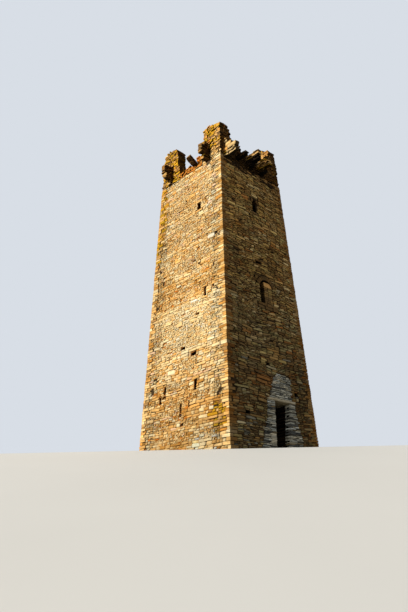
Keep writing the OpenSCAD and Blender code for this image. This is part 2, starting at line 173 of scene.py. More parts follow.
class StoneColours(bpy.types.PropertyGroup):
    cream: shade("Cream", "Pale sandstone", 246, 218, 164)
    straw: shade("Straw", "Light ochre sandstone", 236, 197, 134)
    ochre: shade("Ochre", "Ochre sandstone", 220, 170, 100)
    amber: shade("Amber", "Deep ochre sandstone", 196, 140, 68)
    rust: shade("Rust", "Iron-stained sandstone", 212, 128, 46)
    rose: shade("Rose", "Pinkish sandstone", 232, 190, 146)
    ash: shade("Ash", "Greyish sandstone", 214, 196, 158)
    chalk: shade("Chalk", "Whitish stone", 250, 240, 214)
    dun: shade("Dun", "Brownish sandstone", 170, 126, 74)
    lichen: shade("Lichen", "Yellow lichen on the stones", 203, 152, 38)
    umber: shade("Umber", "Dark brown stone of the shaded wall", 118, 90, 54)
    bark: shade("Bark", "Brown stone of the shaded wall", 156, 122, 72)
    olive: shade("Olive", "Olive stone of the shaded wall", 166, 140, 84)
    buff: shade("Buff", "Pale stone of the shaded wall", 202, 172, 118)
    brick: shade("Brick", "Reddish-brown stone of the shaded wall", 152, 102, 52)
    lead: shade("Lead", "Grey stone of the shaded wall", 140, 126, 98)
    slate: shade("Slate", "Grey slate of the doorway", 176, 173, 157)
    pale_slate: shade("Pale slate", "Weathered slate of the doorway", 224, 217, 195)
    dark_slate: shade("Dark slate", "Damp slate of the doorway", 98, 97, 90)
    tan: shade("Tan", "Lintel slab of the doorway", 88, 82, 66)
    apricot: shade("Apricot", "Blocking stones of the upper doorway", 232, 176, 106)
    # Painted shade: a near-black brown for stones under the crown, in the corbels' shadow and deep in the
    # ground doorway
    soot: shade("Soot", "Stone in the damp shade under the crown", 48, 36, 24)
    bed_ochre: shade("Ochre bed", "Earth bed of the sunlit walls", 178, 116, 56)
    bed_brown: shade("Brown bed", "Earth bed of the shaded walls", 70, 54, 35)
    timber: shade("Timber", "Weathered wood of the floors", 128, 106, 82)


class StageSettings(bpy.types.PropertyGroup):
    camera_at: bpy.props.FloatVectorProperty(
        name="Camera", description="Place of the camera", default=(-16.515, -15.971, -2.769),
        size=3, subtype="TRANSLATION", unit="LENGTH")
    camera_yaw: angle("Yaw", "Direction of the camera, from the +X axis", 46.207)
    camera_pitch: angle("Pitch", "How far the camera looks up", 22.061)
    camera_roll: angle("Roll", "How far the camera leans", -1.008)
    focal_px: number("Focal length", "Focal length in pixels of the photograph", 577.55)
    brink: length("Brink", "Distance of the floor's brink from the near corner", 0.06)
    fall: angle("Fall", "Slope of the floor towards the camera", 13)
    floor_tone: shade("Floor", "Colour of the floor", 214, 212, 206)
    floor_bounce: shade("Floor bounce", "Colour of the floor as it lights the object", 112, 108, 98)
    backdrop_tone: shade("Backdrop", "Colour behind the object", 216, 222, 230)
    key_strength: number("Key light", "Strength of the light on the left wall", 3.8)
    fill_strength: number("Fill light", "Strength of the light from all round", 0.37)
    back_strength: number("Back light", "Strength of the light on the far walls", 0.8)


# Stone mixes: a share for each colour name
SUNLIT = {"cream": 28, "straw": 40, "ochre": 23, "amber": 4, "rose": 5}
PALE = {"cream": 60, "straw": 28, "chalk": 4, "ochre": 5, "ash": 3}
WHITISH = {"chalk": 14, "cream": 36, "straw": 26, "ochre": 24}
GOLDEN = {"cream": 10, "straw": 34, "ochre": 40, "amber": 12, "rose": 3, "rust": 1}
MIXED = {"cream": 22, "straw": 28, "ochre": 30, "amber": 12, "ash": 3, "chalk": 3, "rose": 2}
BROWN = {"bark": 38, "olive": 28, "umber": 23, "buff": 8, "brick": 3}
REDDISH = {"bark": 36, "umber": 29, "brick": 16, "olive": 14, "buff": 3, "lead": 2}
GREYISH = {"bark": 32, "umber": 26, "lead": 22, "olive": 16, "buff": 4}
PATCH = {"brick": 60, "bark": 30, "umber": 10}
SLATES = {"slate": 48, "pale_slate": 24, "dark_slate": 24, "lead": 4}
SLATES_ABOVE = {"slate": 50, "pale_slate": 34, "dark_slate": 16}
LICHENED = {"lichen": 30, "amber": 24, "ochre": 32, "straw": 14}
# Painted shade: this mix and the next darken the top of the shaded walls under the crown, and the corbel
# courses that lie in shadow
SHADOWY = {"soot": 42, "umber": 36, "bark": 14, "olive": 8}
PAINTED_SHADOW = {"soot": 90, "umber": 10}
CROWN_LIT = {"lichen": 46, "amber": 24, "ochre": 12, "dun": 12, "rust": 3, "umber": 3}
STUMP_LIT = {"rust": 80, "amber": 20}
PIER_FOOT = {"straw": 62, "ochre": 38}
# CROWN_SHADED is light stone that the crown's stone shader darkens with painted shade on its sides along Y;
# STUMP_SHADED is darker stone, painted shade under the corbels
CROWN_SHADED = {"ochre": 56, "amber": 26, "dun": 18}
STUMP_SHADED = {"bark": 56, "umber": 44}
CORBELS_SIDE = {"amber": 32, "ochre": 36, "dun": 22, "lichen": 10}
# Pale and golden corbel stones are painted sunlight on the corbels that catch the sun
CORBELS_PALE = {"straw": 58, "ochre": 36, "lichen": 6}
CORBELS_GOLD = {"straw": 30, "ochre": 40, "lichen": 30}
CORBEL_BAR = {"dun": 50, "umber": 50}
CORNER = {"cream": 10, "straw": 34, "ochre": 36, "amber": 12, "dun": 8}
INNER = {"umber": 30, "bark": 36, "dun": 14, "lead": 12, "olive": 8}
BLOCKING = {"bark": 40, "umber": 30, "olive": 30}

# Past both ends and past the top of every face
FAR, TOP = 9.0, 99.0

# Zones of a face: (lowest z, highest z, least x, greatest x, mix), the first that fits counts
SIDE_ZONES = [
    (0.0, 1.0, 0.5, 1.75, WHITISH), (0.6, 1.9, 1.6, 2.25, LICHENED), (0.0, 0.8, 0.6, FAR, MIXED),
    (1.95, 2.65, 0.7, FAR, SUNLIT), (0.0, 2.65, -FAR, FAR, GOLDEN),
    (2.65, 4.05, -FAR, FAR, SUNLIT), (4.05, 6.1, -1.5, FAR, PALE), (4.05, 6.1, -FAR, -1.5, SUNLIT),
    (6.1, 7.2, -FAR, FAR, GOLDEN), (7.2, 9.3, -FAR, FAR, SUNLIT), (8.5, 12.3, -FAR, -1.5, LICHENED),
    (9.3, TOP, -FAR, FAR, SUNLIT),
]
SHADED_ZONES = [
    (2.45, 3.1, -1.1, 0.1, PATCH), (0.0, 1.2, -FAR, -0.6, GREYISH), (1.2, 3.4, -FAR, -0.6, REDDISH),
    # The zones from 12.05 m up are painted shade and shadow of the crown on the top of the shaded walls
    (0.0, 4.2, 0.9, FAR, REDDISH), (12.2, TOP, -FAR, 0.4, PAINTED_SHADOW), (12.35, TOP, 0.4, FAR, PAINTED_SHADOW),
    (12.05, TOP, -FAR, FAR, SHADOWY), (0.0, TOP, -FAR, FAR, BROWN),
]

# How light the stones of a side wall and of a shaded one are, at heights from the ground up
SIDE_LIGHT = ((0, 1.4, 1.8, 3.0, 3.4, 4.4, 6.0, 6.6, 8.0, 10.8, 11.6),
              (0.76, 0.84, 0.98, 1.0, 1.32, 1.46, 1.4, 1.06, 1.15, 1.12, 1.32))
SHADED_LIGHT = ((0, 3.2, 4.2, 6.2, 10.5, 12), (1.12, 1.12, 1.16, 1.46, 1.64, 1.84))
# How much warmer the stones of a shaded wall are, at heights
SHADED_WARMTH = ((3, 7, 8, 10), (-0.09, -0.02, 0, 0.03))
# How far the edges of the slates are drawn in towards the doorway, as a share, at heights
DRAWN_IN = ((1.5, 2.1, 2.5, 2.75, 2.95), (0, 0.2, 0.2, 0, -0.4))

# Fallen stones of each face: (x along the face, z, width, height, turn in degrees)
HOLES = {
    "left": (
        (-1.86, 2.74, 0.15, 0.27, 8), (-1.09, 2.64, 0.13, 0.30, -6), (-1.34, 2.28, 0.13, 0.30, 4),
        (-1.12, 2.38, 0.20, 0.09, 20), (-0.12, 1.80, 0.1, 0.36, 4), (0.34, 1.89, 0.08, 0.24, -6),
        (-0.13, 1.54, 0.08, 0.12, 0), (-0.02, 1.17, 0.15, 0.09, 14), (1.97, 2.10, 0.38, 0.12, 42),
        (2.20, 1.70, 0.05, 0.22, 6), (1.76, 1.59, 0.22, 0.06, 8), (0.78, 2.80, 0.26, 0.07, 18),
        (-0.10, 4.15, 0.24, 0.12, 6), (0.52, 3.80, 0.30, 0.15, 10), (-2.0, 4.54, 0.16, 0.07, 12),
        (-1.84, 6.35, 0.20, 0.14, -14), (-1.46, 7.42, 0.17, 0.15, 10), (0.67, 5.38, 0.20, 0.07, 0),
        (1.79, 6.14, 0.09, 0.13, 0), (0.41, 7.81, 0.18, 0.07, 8), (1.56, 7.24, 0.08, 0.11, 0),
        (1.66, 8.62, 0.22, 0.12, 8), (1.93, 8.44, 0.20, 0.07, 12), (-1.34, 10.21, 0.10, 0.08, 0),
        (-0.20, 11.01, 0.09, 0.09, 0), (0.74, 7.59, 0.14, 0.08, 12), (-1.46, 9.07, 0.14, 0.07, 10),
        (2.06, 9.4, 0.06, 0.16, 0),
    ),
    "front": (
        (-0.12, 7.76, 0.36, 0.08, -4), (-0.41, 7.04, 0.14, 0.12, 0), (-1.34, 6.89, 0.13, 0.07, 0),
        (-0.14, 3.40, 0.20, 0.09, 0), (1.43, 2.42, 0.17, 0.14, 0), (-1.47, 1.38, 0.22, 0.12, -8),
        (-2.1, 3.97, 0.16, 0.08, 0), (0.9, 8.6, 0.16, 0.06, 0),
    ),
    "right": (
        (-0.9, 3.3, 0.24, 0.12, 6), (1.2, 6.9, 0.18, 0.14, -6), (0.2, 8.2, 0.12, 0.18, 4),
        (-1.4, 5.1, 0.26, 0.09, 8), (1.5, 2.2, 0.1, 0.26, 3),
    ),
    "back": (
        (-1.1, 2.4, 0.24, 0.1, 5), (0.9, 4.6, 0.2, 0.14, -4), (-0.3, 7.9, 0.28, 0.08, 3),
        (1.2, 1.1, 0.12, 0.22, 0),
    ),
}

# Single stones of a face that stand out: (x, z, width, height, colour name)
MARKED = {
    "front": (
        (-0.46, 2.79, 0.80, 0.12, "brick"), (-0.56, 2.65, 0.66, 0.13, "brick"),
        (-0.20, 2.54, 0.5, 0.08, "brick"), (-1.72, 2.27, 0.80, 0.10, "olive"),
        (-0.78, 1.62, 0.40, 0.14, "olive"), (1.47, 2.22, 0.18, 0.15, "buff"),
        (-0.62, 1.92, 0.52, 0.14, "bark"),
    ),
    "left": (
        (1.40, 8.60, 0.38, 0.17, "chalk"), (-0.75, 3.30, 0.44, 0.2, "cream"),
        (0.95, 3.30, 0.5, 0.12, "straw"), (-0.35, 5.20, 0.36, 0.2, "straw"),
        (1.75, 3.85, 0.42, 0.13, "cream"),
    ),
}


class Solids:
    """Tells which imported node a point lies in."""

    RAY = Vector((0.137, 0.291, 0.947)).normalized()
    STEP = 1e-4

    def __init__(self):
        self.trees = []
        for name, packed in frame["nodes"].items():
            corners = [v.co.copy() for v in packed.data.vertices]
            faces = [tuple(p.vertices) for p in packed.data.polygons]
            self.trees.append((name, *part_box(name), BVHTree.FromPolygons(corners, faces)))

    def at(self, point):
        for name, low, high, tree in self.trees:
            if all(low[i] <= point[i] <= high[i] for i in range(3)) and self.inside(tree, point):
                return name
        return None

    def inside(self, tree, point):
        crossings = 0
        start = point.copy()
        while True:
            hit = tree.ray_cast(start, self.RAY)[0]
            if hit is None:
                return crossings % 2 == 1
            crossings += 1
            start = hit + self.RAY * self.STEP


solids = Solids()


def wave(point, height):
    """How far the courses rise or dip at a point: nothing at the ground and at the wall head."""
    x, y, z = point
    swell = math.sin(1.3 * x - 0.9 * y + 0.55 * z + 1.0)
    ripple = math.sin(-2.9 * x + 2.3 * y + 1.7 * z)
    ends = min(1, z / 0.8) * min(1, max(0, WALL_HEAD - z) / 0.6)
    return height * ends * (swell + 0.45 * ripple)


def ragged(face, x, z):
    """How far the edge of the slates wanders and draws in at a place: nothing beside the doorway."""
    if face != "front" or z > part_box("door_slate_crown")[1].z + 0.1:
        return 0.0
    low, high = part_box("door_lintel")
    middle = (low.x + high.x) / 2
    share = 1.0 if z > high.z else min(1, max(0, (abs(x - middle) - (high.x - low.x) / 2) / 0.15))
    wandering = 0.16 * noise.noise(Vector((0.3 * x, 0, z * 11)))
    return share * (wandering + np.interp(z, *DRAWN_IN) * (x - middle))


def openings(face):
    """Rectangles (x0, x1, z0, z1) of the slits and windows that go through a face."""
    clearance = 0.005
    found = []
    for opening in frame["record"]["physics"]["openings"]:
        if opening["name"].startswith(face + "_"):
            low, high = opening["box_m"]
            x0, x1 = sorted((face_turn(face, 3, -1) @ Vector(end)).x for end in (low, high))
            found.append((x0 - clearance, x1 + clearance, low[2] - clearance, high[2] + clearance))
    return found


def cut_out(rect, hole):
    """The up to four rectangles that are left of rect when hole is taken out of it."""
    x0, x1, z0, z1 = rect
    hx0, hx1, hz0, hz1 = hole
    if hx0 >= x1 or hx1 <= x0 or hz0 >= z1 or hz1 <= z0:
        return [rect]
    middle = (max(x0, hx0), min(x1, hx1))
    parts = [(x0, hx0, z0, z1), (hx1, x1, z0, z1), (*middle, z0, hz0), (*middle, hz1, z1)]
    return [p for p in parts if p[1] - p[0] > 0.04 and p[3] - p[2] > 0.03]


def hole_rects(hole):
    """Level rectangles (x0, x1, z0, z1) that together cover the hole of a fallen stone."""
    x, z, wide, high, lean = hole
    long, short = max(wide, high), min(wide, high)
    steps = 1 if abs(lean) < 15 else math.ceil(long / short)
    if steps == 1:
        return [(x - wide / 2, x + wide / 2, z - high / 2, z + high / 2)]
    slope = math.radians(lean if wide > high else lean + 90)
    found = []
    for i in range(steps):
        along = ((i + 0.5) / steps - 0.5) * (long - short / 2)
        at_x, at_z = x + along * math.cos(slope), z + along * math.sin(slope)
        found.append((at_x - short / 2, at_x + short / 2, at_z - short / 2, at_z + short / 2))
    return found


def free_of(rect, holes):
    """What is left of rect when all the holes are taken out of it."""
    parts = [rect]
    for hole in holes:
        parts = [piece for part in parts for piece in cut_out(part, hole)]
    return parts


class Stone:
    """One stone to lay: its middle, size, turn, shape and tint."""

    def __init__(self, at, size, turn, kind, tint):
        self.at, self.size, self.turn, self.kind, self.tint = at, size, turn, kind, tint


def colour_of(name, rng, spread=0.2):
    """A named colour, a little lighter, darker, warmer or cooler, with a random value as its alpha."""
    base = getattr(bpy.context.scene.keep_colours, name)
    light = math.exp(rng.gauss(0, spread))
    warm = rng.gauss(0, 0.045)
    return (min(1, base[0] * light * (1 + warm)), min(1, base[1] * light),
            min(1, base[2] * light * (1 - 1.6 * warm)), rng.random())


def pick(mix, rng):
    return rng.choices(list(mix), weights=list(mix.values()))[0]


def tint_of(mix, rng, spread):
    """A colour of a mix, by its shares, as colour_of varies it."""
    return colour_of(pick(mix, rng), rng, spread)


def mix_at(face, x, z):
    zones = SIDE_ZONES if face in OCHRE_FACES else SHADED_ZONES
    for z0, z1, x0, x1, mix in zones:
        if z0 <= z < z1 and x0 <= x < x1:
            return mix
    return zones[-1][4]


# Shapes of the stones: split blocks, plainer ones, flat ones of few faces and rough corner blocks
BLOCK_KINDS = 6
PLAIN_KINDS = 5
SMALL_KINDS = 5
CHIP_KINDS = 4
QUOIN_KINDS = 3


def block_of(rng, area):
    """A kind of block with as much detail as a face of that area needs."""
    first, count = BLOCK_KINDS + PLAIN_KINDS + SMALL_KINDS, CHIP_KINDS
    if area > 0.009:
        first, count = BLOCK_KINDS + PLAIN_KINDS, SMALL_KINDS
    if area > 0.02:
        first, count = BLOCK_KINDS, PLAIN_KINDS
    if area > 0.045:
        first, count = 0, BLOCK_KINDS
    return first + rng.randrange(count)


def split_block(rng, columns, rows):
    """Corners, faces and rim of a unit block with a split front towards -Y and flat sides.

    The front is divided at the given columns and rows, each moved a little at every crossing.
    """
    wobble = 0.05
    columns, rows = [-0.5, *columns, 0.5], [-0.5, *rows, 0.5]
    corners, rim, faces = [], [], []
    wide, high = len(columns), len(rows)
    for j, z in enumerate(rows):
        for i, x in enumerate(columns):
            at_side, at_bed = i in (0, wide - 1), j in (0, high - 1)
            if at_side and at_bed:
                back, pull = rng.uniform(0.10, 0.26), rng.uniform(0.02, 0.08)
            elif at_side or at_bed:
                back, pull = rng.uniform(0.05, 0.16), rng.uniform(0.0, 0.05)
            else:
                back, pull = rng.uniform(0, 0.07), 0
            dx = 0 if at_side else rng.uniform(-wobble, wobble)
            dz = 0 if at_bed else rng.uniform(-wobble, wobble)
            corners.append((x * (1 - 2 * pull) + dx, -0.5 + back, z * (1 - 2 * pull) + dz))
            rim.append(float(at_side or at_bed))
    for j in range(high - 1):
        for i in range(wide - 1):
            a = j * wide + i
            faces.append((a, a + 1, a + wide + 1, a + wide))
    loop = list(range(wide))
    loop += [j * wide + wide - 1 for j in range(1, high)]
    loop += [(high - 1) * wide + i for i in range(wide - 2, -1, -1)]
    loop += [j * wide for j in range(high - 2, 0, -1)]
    first_back = len(corners)
    for a in loop:
        x, _, z = corners[a]
        corners.append((x * 0.96, 0.5, z * 0.96))
        rim.append(1.0)
    count = len(loop)
    for k in range(count):
        a, b = loop[k], loop[(k + 1) % count]
        faces.append((b, a, first_back + k, first_back + (k + 1) % count))
    faces.append(tuple(first_back + k for k in range(count - 1, -1, -1)))
    return corners, faces, rim


def corner_block(rng):
    """Corners, faces and rim of a unit block that is rough on every side."""
    bm = bmesh.new()
    bmesh.ops.create_cube(bm, size=1)
    bmesh.ops.subdivide_edges(bm, edges=bm.edges[:], cuts=2, use_grid_fill=True)
    inner = 0.38
    rim = []
    for v in bm.verts:
        edges = sum(abs(abs(c) - 0.5) < 1e-4 for c in v.co)
        for i in range(3):
            if abs(abs(v.co[i]) - 0.5) > 1e-4:
                v.co[i] = math.copysign(inner, v.co[i]) + rng.uniform(-0.05, 0.05)
        v.co *= (1.0, 1.0, 0.965, 0.93)[edges] - rng.uniform(0, 0.025)
        rim.append(float(edges > 1))
    corners = [tuple(v.co) for v in bm.verts]
    faces = [tuple(v.index for v in f.verts) for f in bm.faces]
    bm.free()
    return corners, faces, rim


def mesh_of(name, corners, faces, rim=None):
    mesh = bpy.data.meshes.new(name)
    mesh.from_pydata(corners, [], faces)
    if rim is not None:
        new_attribute(mesh, "rim", "FLOAT", rim)
        new_attribute(mesh, "laid", "FLOAT", [1.0] * len(corners))
    mesh.update()
    return mesh


def stone_kinds():
    """The collection of unit stones that the walling picks from, in the order of their kinds."""
    rng = random.Random(11)
    at = rng.uniform
    shapes = [split_block(rng, (at(-0.42, -0.3), at(-0.1, 0.12), at(0.3, 0.42)), (-0.3, 0.3))
              for _ in range(BLOCK_KINDS)]
    shapes += [split_block(rng, (at(-0.42, -0.25), at(0.1, 0.4)), [at(-0.2, 0.2)])
               for _ in range(PLAIN_KINDS)]
    shapes += [split_block(rng, [at(-0.3, 0.3)], [at(-0.2, 0.2)]) for _ in range(SMALL_KINDS)]
    shapes += [split_block(rng, [at(-0.25, 0.25)], []) for _ in range(CHIP_KINDS)]
    shapes += [corner_block(rng) for _ in range(QUOIN_KINDS)]
    kinds = bpy.data.collections.new("stone_kinds")
    for i, shape in enumerate(shapes):
        name = f"kind_{i:02d}"
        kinds.objects.link(bpy.data.objects.new(name, mesh_of(name, *shape)))
    return kinds


def new_socket(tree, name, kind, default=None, outlet=False):
    socket = tree.interface.new_socket(name=name, in_out="OUTPUT" if outlet else "INPUT",
                                       socket_type="NodeSocket" + kind)
    if default is not None:
        socket.default_value = default


def node(tree, kind, inputs=None, **settings):
    """A new node with its settings, then its inlets filled as wire() fills them."""
    made = tree.nodes.new(kind)
    for key, value in settings.items():
        setattr(made, key, value)
    wire(made, inputs or {})
    return made


def outlet(tree, name, kind, inputs=None, **settings):
    """An outlet of a new node, by its name or number."""
    return node(tree, kind, inputs, **settings).outputs[name]


def wire(made, inputs):
    """Gives a node's inlets plain values or the values of other sockets."""
    for inlet, value in inputs.items():
        value = getattr(value, "socket", value)
        if isinstance(value, bpy.types.NodeSocket):
            made.id_data.links.new(value, made.inputs[inlet])
        else:
            made.inputs[inlet].default_value = value


def masonry_tree():
    """Geometry Nodes that lay stones over the bed they are given, at the points of another object."""
    tree = bpy.data.node_groups.new("lay_masonry", "GeometryNodeTree")
    for name, kind, default in (("Bed", "Geometry", None), ("Places", "Object", None),
                                ("Stone kinds", "Collection", None), ("Unevenness", "Float", 0.016),
                                ("Swell size", "Float", 3.1), ("Stone finish", "Material", None),
                                ("Bed finish", "Material", None)):
        new_socket(tree, name, kind, default)
    new_socket(tree, "Masonry", "Geometry", outlet=True)
    given = node(tree, "NodeGroupInput").outputs

    def attribute(name, kind):
        return outlet(tree, 0, "GeometryNodeInputNamedAttribute", {"Name": name}, data_type=kind)

    def painted(geometry, selection, name):
        return outlet(tree, "Geometry", "GeometryNodeSetMaterial", {
            "Geometry": geometry, "Selection": selection, "Material": given[name]})

    places = outlet(tree, "Geometry", "GeometryNodeObjectInfo", {"Object": given["Places"]})
    kinds = outlet(tree, "Instances", "GeometryNodeCollectionInfo", {
        "Collection": given["Stone kinds"], "Separate Children": True, "Reset Children": True})
    turn = outlet(tree, "Rotation", "FunctionNodeEulerToRotation", {
        "Euler": attribute("turn", "FLOAT_VECTOR")})
    stones = outlet(tree, "Instances", "GeometryNodeInstanceOnPoints", {
        "Points": places, "Instance": kinds, "Pick Instance": True, "Rotation": turn,
        "Instance Index": attribute("kind", "INT"), "Scale": attribute("size", "FLOAT_VECTOR")})
    join = node(tree, "GeometryNodeJoinGeometry", {"Geometry": given["Bed"]})
    wire(join, {"Geometry": stones})
    realized = outlet(tree, "Geometry", "GeometryNodeRealizeInstances", {
        "Geometry": join.outputs["Geometry"]})
    is_stone = outlet(tree, "Result", "FunctionNodeCompare", {"A": attribute("laid", "FLOAT"), "B": 0.5},
                      data_type="FLOAT", operation="GREATER_THAN")
    is_bed = outlet(tree, "Boolean", "FunctionNodeBooleanMath", {0: is_stone}, operation="NOT")
    swell = outlet(tree, "Color", "ShaderNodeTexNoise", {
        "Vector": outlet(tree, "Position", "GeometryNodeInputPosition"), "Scale": given["Swell size"],
        "Detail": 3.0}, noise_dimensions="3D")
    centred = outlet(tree, "Vector", "ShaderNodeVectorMath", {0: swell, 1: (0.5, 0.5, 0.5)},
                     operation="SUBTRACT")
    reach = outlet(tree, "Value", "ShaderNodeMath", {0: given["Unevenness"], 1: 4.0}, operation="MULTIPLY")
    offset = outlet(tree, "Vector", "ShaderNodeVectorMath", {0: centred, "Scale": reach}, operation="SCALE")
    shifted = outlet(tree, "Geometry", "GeometryNodeSetPosition", {
        "Geometry": realized, "Selection": is_stone, "Offset": offset})
    stone_done = painted(shifted, is_stone, "Stone finish")
    node(tree, "NodeGroupOutput", {"Masonry": painted(stone_done, is_bed, "Bed finish")})
    return tree


def new_attribute(mesh, name, kind, rows):
    """A point attribute with a value, or a row of values, for each point."""
    values = [v for row in rows for v in row] if "_" in kind else rows
    field = {"FLOAT_VECTOR": "vector", "FLOAT_COLOR": "color"}.get(kind, "value")
    mesh.attributes.new(name, kind, "POINT").data.foreach_set(field, values)


def linked(name, mesh):
    """A new object of the scene."""
    made = bpy.data.objects.new(name, mesh)
    bpy.context.scene.collection.objects.link(made)
    return made


def places_object(stones):
    """Points that carry the size, turn, kind and tint of each stone."""
    mesh = bpy.data.meshes.new("places")
    mesh.from_pydata([tuple(s.at) for s in stones], [], [])
    for name, kind in (("size", "FLOAT_VECTOR"), ("turn", "FLOAT_VECTOR"), ("kind", "INT"),
                       ("tint", "FLOAT_COLOR")):
        new_attribute(mesh, name, kind, [getattr(s, name) for s in stones])
    return linked("places", mesh)


def merged(node_name):
    """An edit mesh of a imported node, closed by merging its loose triangles."""
    bm = bmesh.new()
    bm.from_mesh(frame["nodes"][node_name].data)
    bmesh.ops.remove_doubles(bm, verts=bm.verts, dist=1e-5)
    return bm


def from_edit(bm, mesh=None):
    """Writes an edit mesh into a mesh, a new one where none is given."""
    mesh = mesh or bpy.data.meshes.new("bed")
    bm.to_mesh(mesh)
    bm.free()
    return mesh


def wall_bed(node_name):
    """The bed of a storey wall: its solid with the outer faces and the room faces moved in."""
    s = bpy.context.scene.keep_masonry
    near = 0.004
    mesh = from_edit(merged(node_name))
    for v in mesh.vertices:
        half = half_width(v.co.z)
        rooms = {half - t for t in WALL_THICKNESS}
        for i in (0, 1):
            c, other = abs(v.co[i]), abs(v.co[1 - i])
            if abs(c - half) < near:
                v.co[i] = math.copysign(c - s.bed_depth, v.co[i])
            elif any(abs(c - room) < near and other <= room + near for room in rooms):
                v.co[i] = math.copysign(c + s.inner_bed, v.co[i])
    return linked("bed", mesh)


def shrunk_bed(node_name, amount):
    """The bed of loose masonry: its solid with every face moved in, apart from its underside."""
    bm = merged(node_name)
    bm.normal_update()
    floor = min(v.co.z for v in bm.verts) + 1e-3
    moves = []
    for v in bm.verts:
        move = v.normal * (-amount * min(1.6, v.calc_shell_factor()))
        if v.co.z < floor:
            move.z = 0
        moves.append(move)
    for v, move in zip(bm.verts, moves):
        v.co += move
    return linked("bed", from_edit(bm))


def hole_cutter(face, holes, depth):
    """Boxes that cut the holes of fallen stones into the bed of a face."""
    bm = bmesh.new()
    for x, z, wide, high, lean in holes:
        box = bmesh.ops.create_cube(bm, size=1)["verts"]
        bmesh.ops.scale(bm, vec=(wide, depth, high), verts=box)
        bmesh.ops.rotate(bm, matrix=Matrix.Rotation(-math.radians(lean), 3, "Y"), verts=box)
        bmesh.ops.rotate(bm, matrix=face_turn(face), verts=box)
        bmesh.ops.translate(bm, vec=face_point(face, x, -depth / 2 + 0.02, z), verts=box)
    return linked("holes", from_edit(bm))


def finished(made, name):
    """The evaluated mesh of an object as a plain piece, with the source removed."""
    graph = bpy.context.evaluated_depsgraph_get()
    mesh = bpy.data.meshes.new_from_object(made.evaluated_get(graph))
    mesh.name = name
    piece = linked(name, mesh)
    bpy.data.objects.remove(made)
    return piece


def with_holes(bed, face, holes):
    """The bed with the holes of its fallen stones cut into it."""
    if not holes:
        return bed
    cutter = hole_cutter(face, holes, bpy.context.scene.keep_masonry.hole_depth)
    cut = bed.modifiers.new("holes", "BOOLEAN")
    cut.operation = "DIFFERENCE"
    cut.solver = "EXACT"
    cut.object = cutter
    bed = finished(bed, "bed")
    bpy.data.objects.remove(cutter)
    return bed


def add_shapes(bed, shapes):
    """Adds stones of their own shape to a bed, as corners, faces, rim and tint."""
    bm = bmesh.new()
    bm.from_mesh(bed.data)
    laid = bm.verts.layers.float.new("laid")
    rim = bm.verts.layers.float.new("rim")
    tint = bm.verts.layers.float_color.new("tint")
    for corners, faces, rims, colour in shapes:
        made = [bm.verts.new(c) for c in corners]
        for v, r in zip(made, rims):
            v[laid], v[rim], v[tint] = 1.0, r, colour
        for face in faces:
            bm.faces.new([made[i] for i in face])
    from_edit(bm, bed.data)


# Trees and stones that several operators share
shared = {}


def get_shared():
    """Makes what the operators share, and fixes the offsets of the noise that wears the slabs."""
    noise.seed_set(5)
    if not shared:
        shared["kinds"] = stone_kinds()
        shared["masonry"] = masonry_tree()


def needed(condition, message):
    if not condition:
        raise RuntimeError(message)


def dress(node_name, suffix, finishes, stones=(), bed=None, unevenness=None, shapes=()):
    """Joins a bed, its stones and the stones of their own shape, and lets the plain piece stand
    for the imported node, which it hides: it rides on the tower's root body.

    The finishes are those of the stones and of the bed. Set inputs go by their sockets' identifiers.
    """
    needed(stones or shapes, f"nothing was laid on {node_name}")
    bed = bed or linked("bed", bpy.data.meshes.new("bed"))
    if shapes:
        add_shapes(bed, shapes)
    places = places_object(stones)
    values = {"Places": places, "Stone kinds": shared["kinds"],
              "Stone finish": finish(finishes[0]), "Bed finish": finish(finishes[1]),
              "Unevenness": unevenness or bpy.context.scene.keep_masonry.unevenness}
    modifier = bed.modifiers.new("masonry", "NODES")
    modifier.node_group = shared["masonry"]
    for item in modifier.node_group.interface.items_tree:
        if item.name in values:
            modifier[item.identifier] = values[item.name]
    piece = finished(bed, f"{node_name}_{suffix}")
    bpy.data.objects.remove(places)
    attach(piece, "root")
    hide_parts(node_name)


# Materials


class Value:
    """What a socket of a shader tree gives, ready to be used in sums."""

    def __init__(self, socket):
        self.socket, self.tree = socket, socket.id_data

    def __add__(self, other):
        return maths("ADD", self, other)

    def __sub__(self, other):
        return maths("SUBTRACT", self, other)

    def __rsub__(self, other):
        return maths("SUBTRACT", other, self)

    def __mul__(self, other):
        return maths("MULTIPLY", self, other)

    def ranged(self, low, high, to_low, to_high):
        return value(self.tree, "Result", "ShaderNodeMapRange", {
            "Value": self, "From Min": low, "From Max": high, "To Min": to_low, "To Max": to_high})


def value(tree, name, kind, inputs=None, **settings):
    """What an outlet of a new node gives."""
    return Value(outlet(tree, name, kind, inputs, **settings))


def tree_of(*values):
    """The tree of the first of the values that isn't a plain one."""
    return next(v.tree for v in values if isinstance(v, Value))


def maths(operation, a, b=0.0):
    return value(tree_of(a, b), 0, "ShaderNodeMath", {0: a, 1: b}, operation=operation)


def blended(mode, factor, a, b):
    """Mixes two colours; a single value stands for a grey."""
    return value(tree_of(factor, a, b), 2, "ShaderNodeMix", {0: factor, 6: a, 7: b}, data_type="RGBA",
                 blend_type=mode)


def mixed_value(factor, a, b):
    """The value a where factor is zero and b where it is one."""
    return value(tree_of(factor), 0, "ShaderNodeMix", {0: factor, 2: a, 3: b}, data_type="FLOAT")


def coordinates(tree, kind="Object"):
    return value(tree, kind, "ShaderNodeTexCoord")


def axes_of(vector):
    """The three values of a vector."""
    parts = node(vector.tree, "ShaderNodeSeparateXYZ", {"Vector": vector}).outputs
    return [Value(parts[axis]) for axis in "XYZ"]


def mapped(vector, inlet, amounts):
    """A vector with another Scale or Rotation."""
    return value(vector.tree, "Vector", "ShaderNodeMapping", {"Vector": vector, inlet: amounts})


def set_apart(vector, amount):
    """A vector moved by the same amount along X, Y and Z."""
    return value(vector.tree, "Vector", "ShaderNodeVectorMath", {0: vector, 1: amount}, operation="ADD")


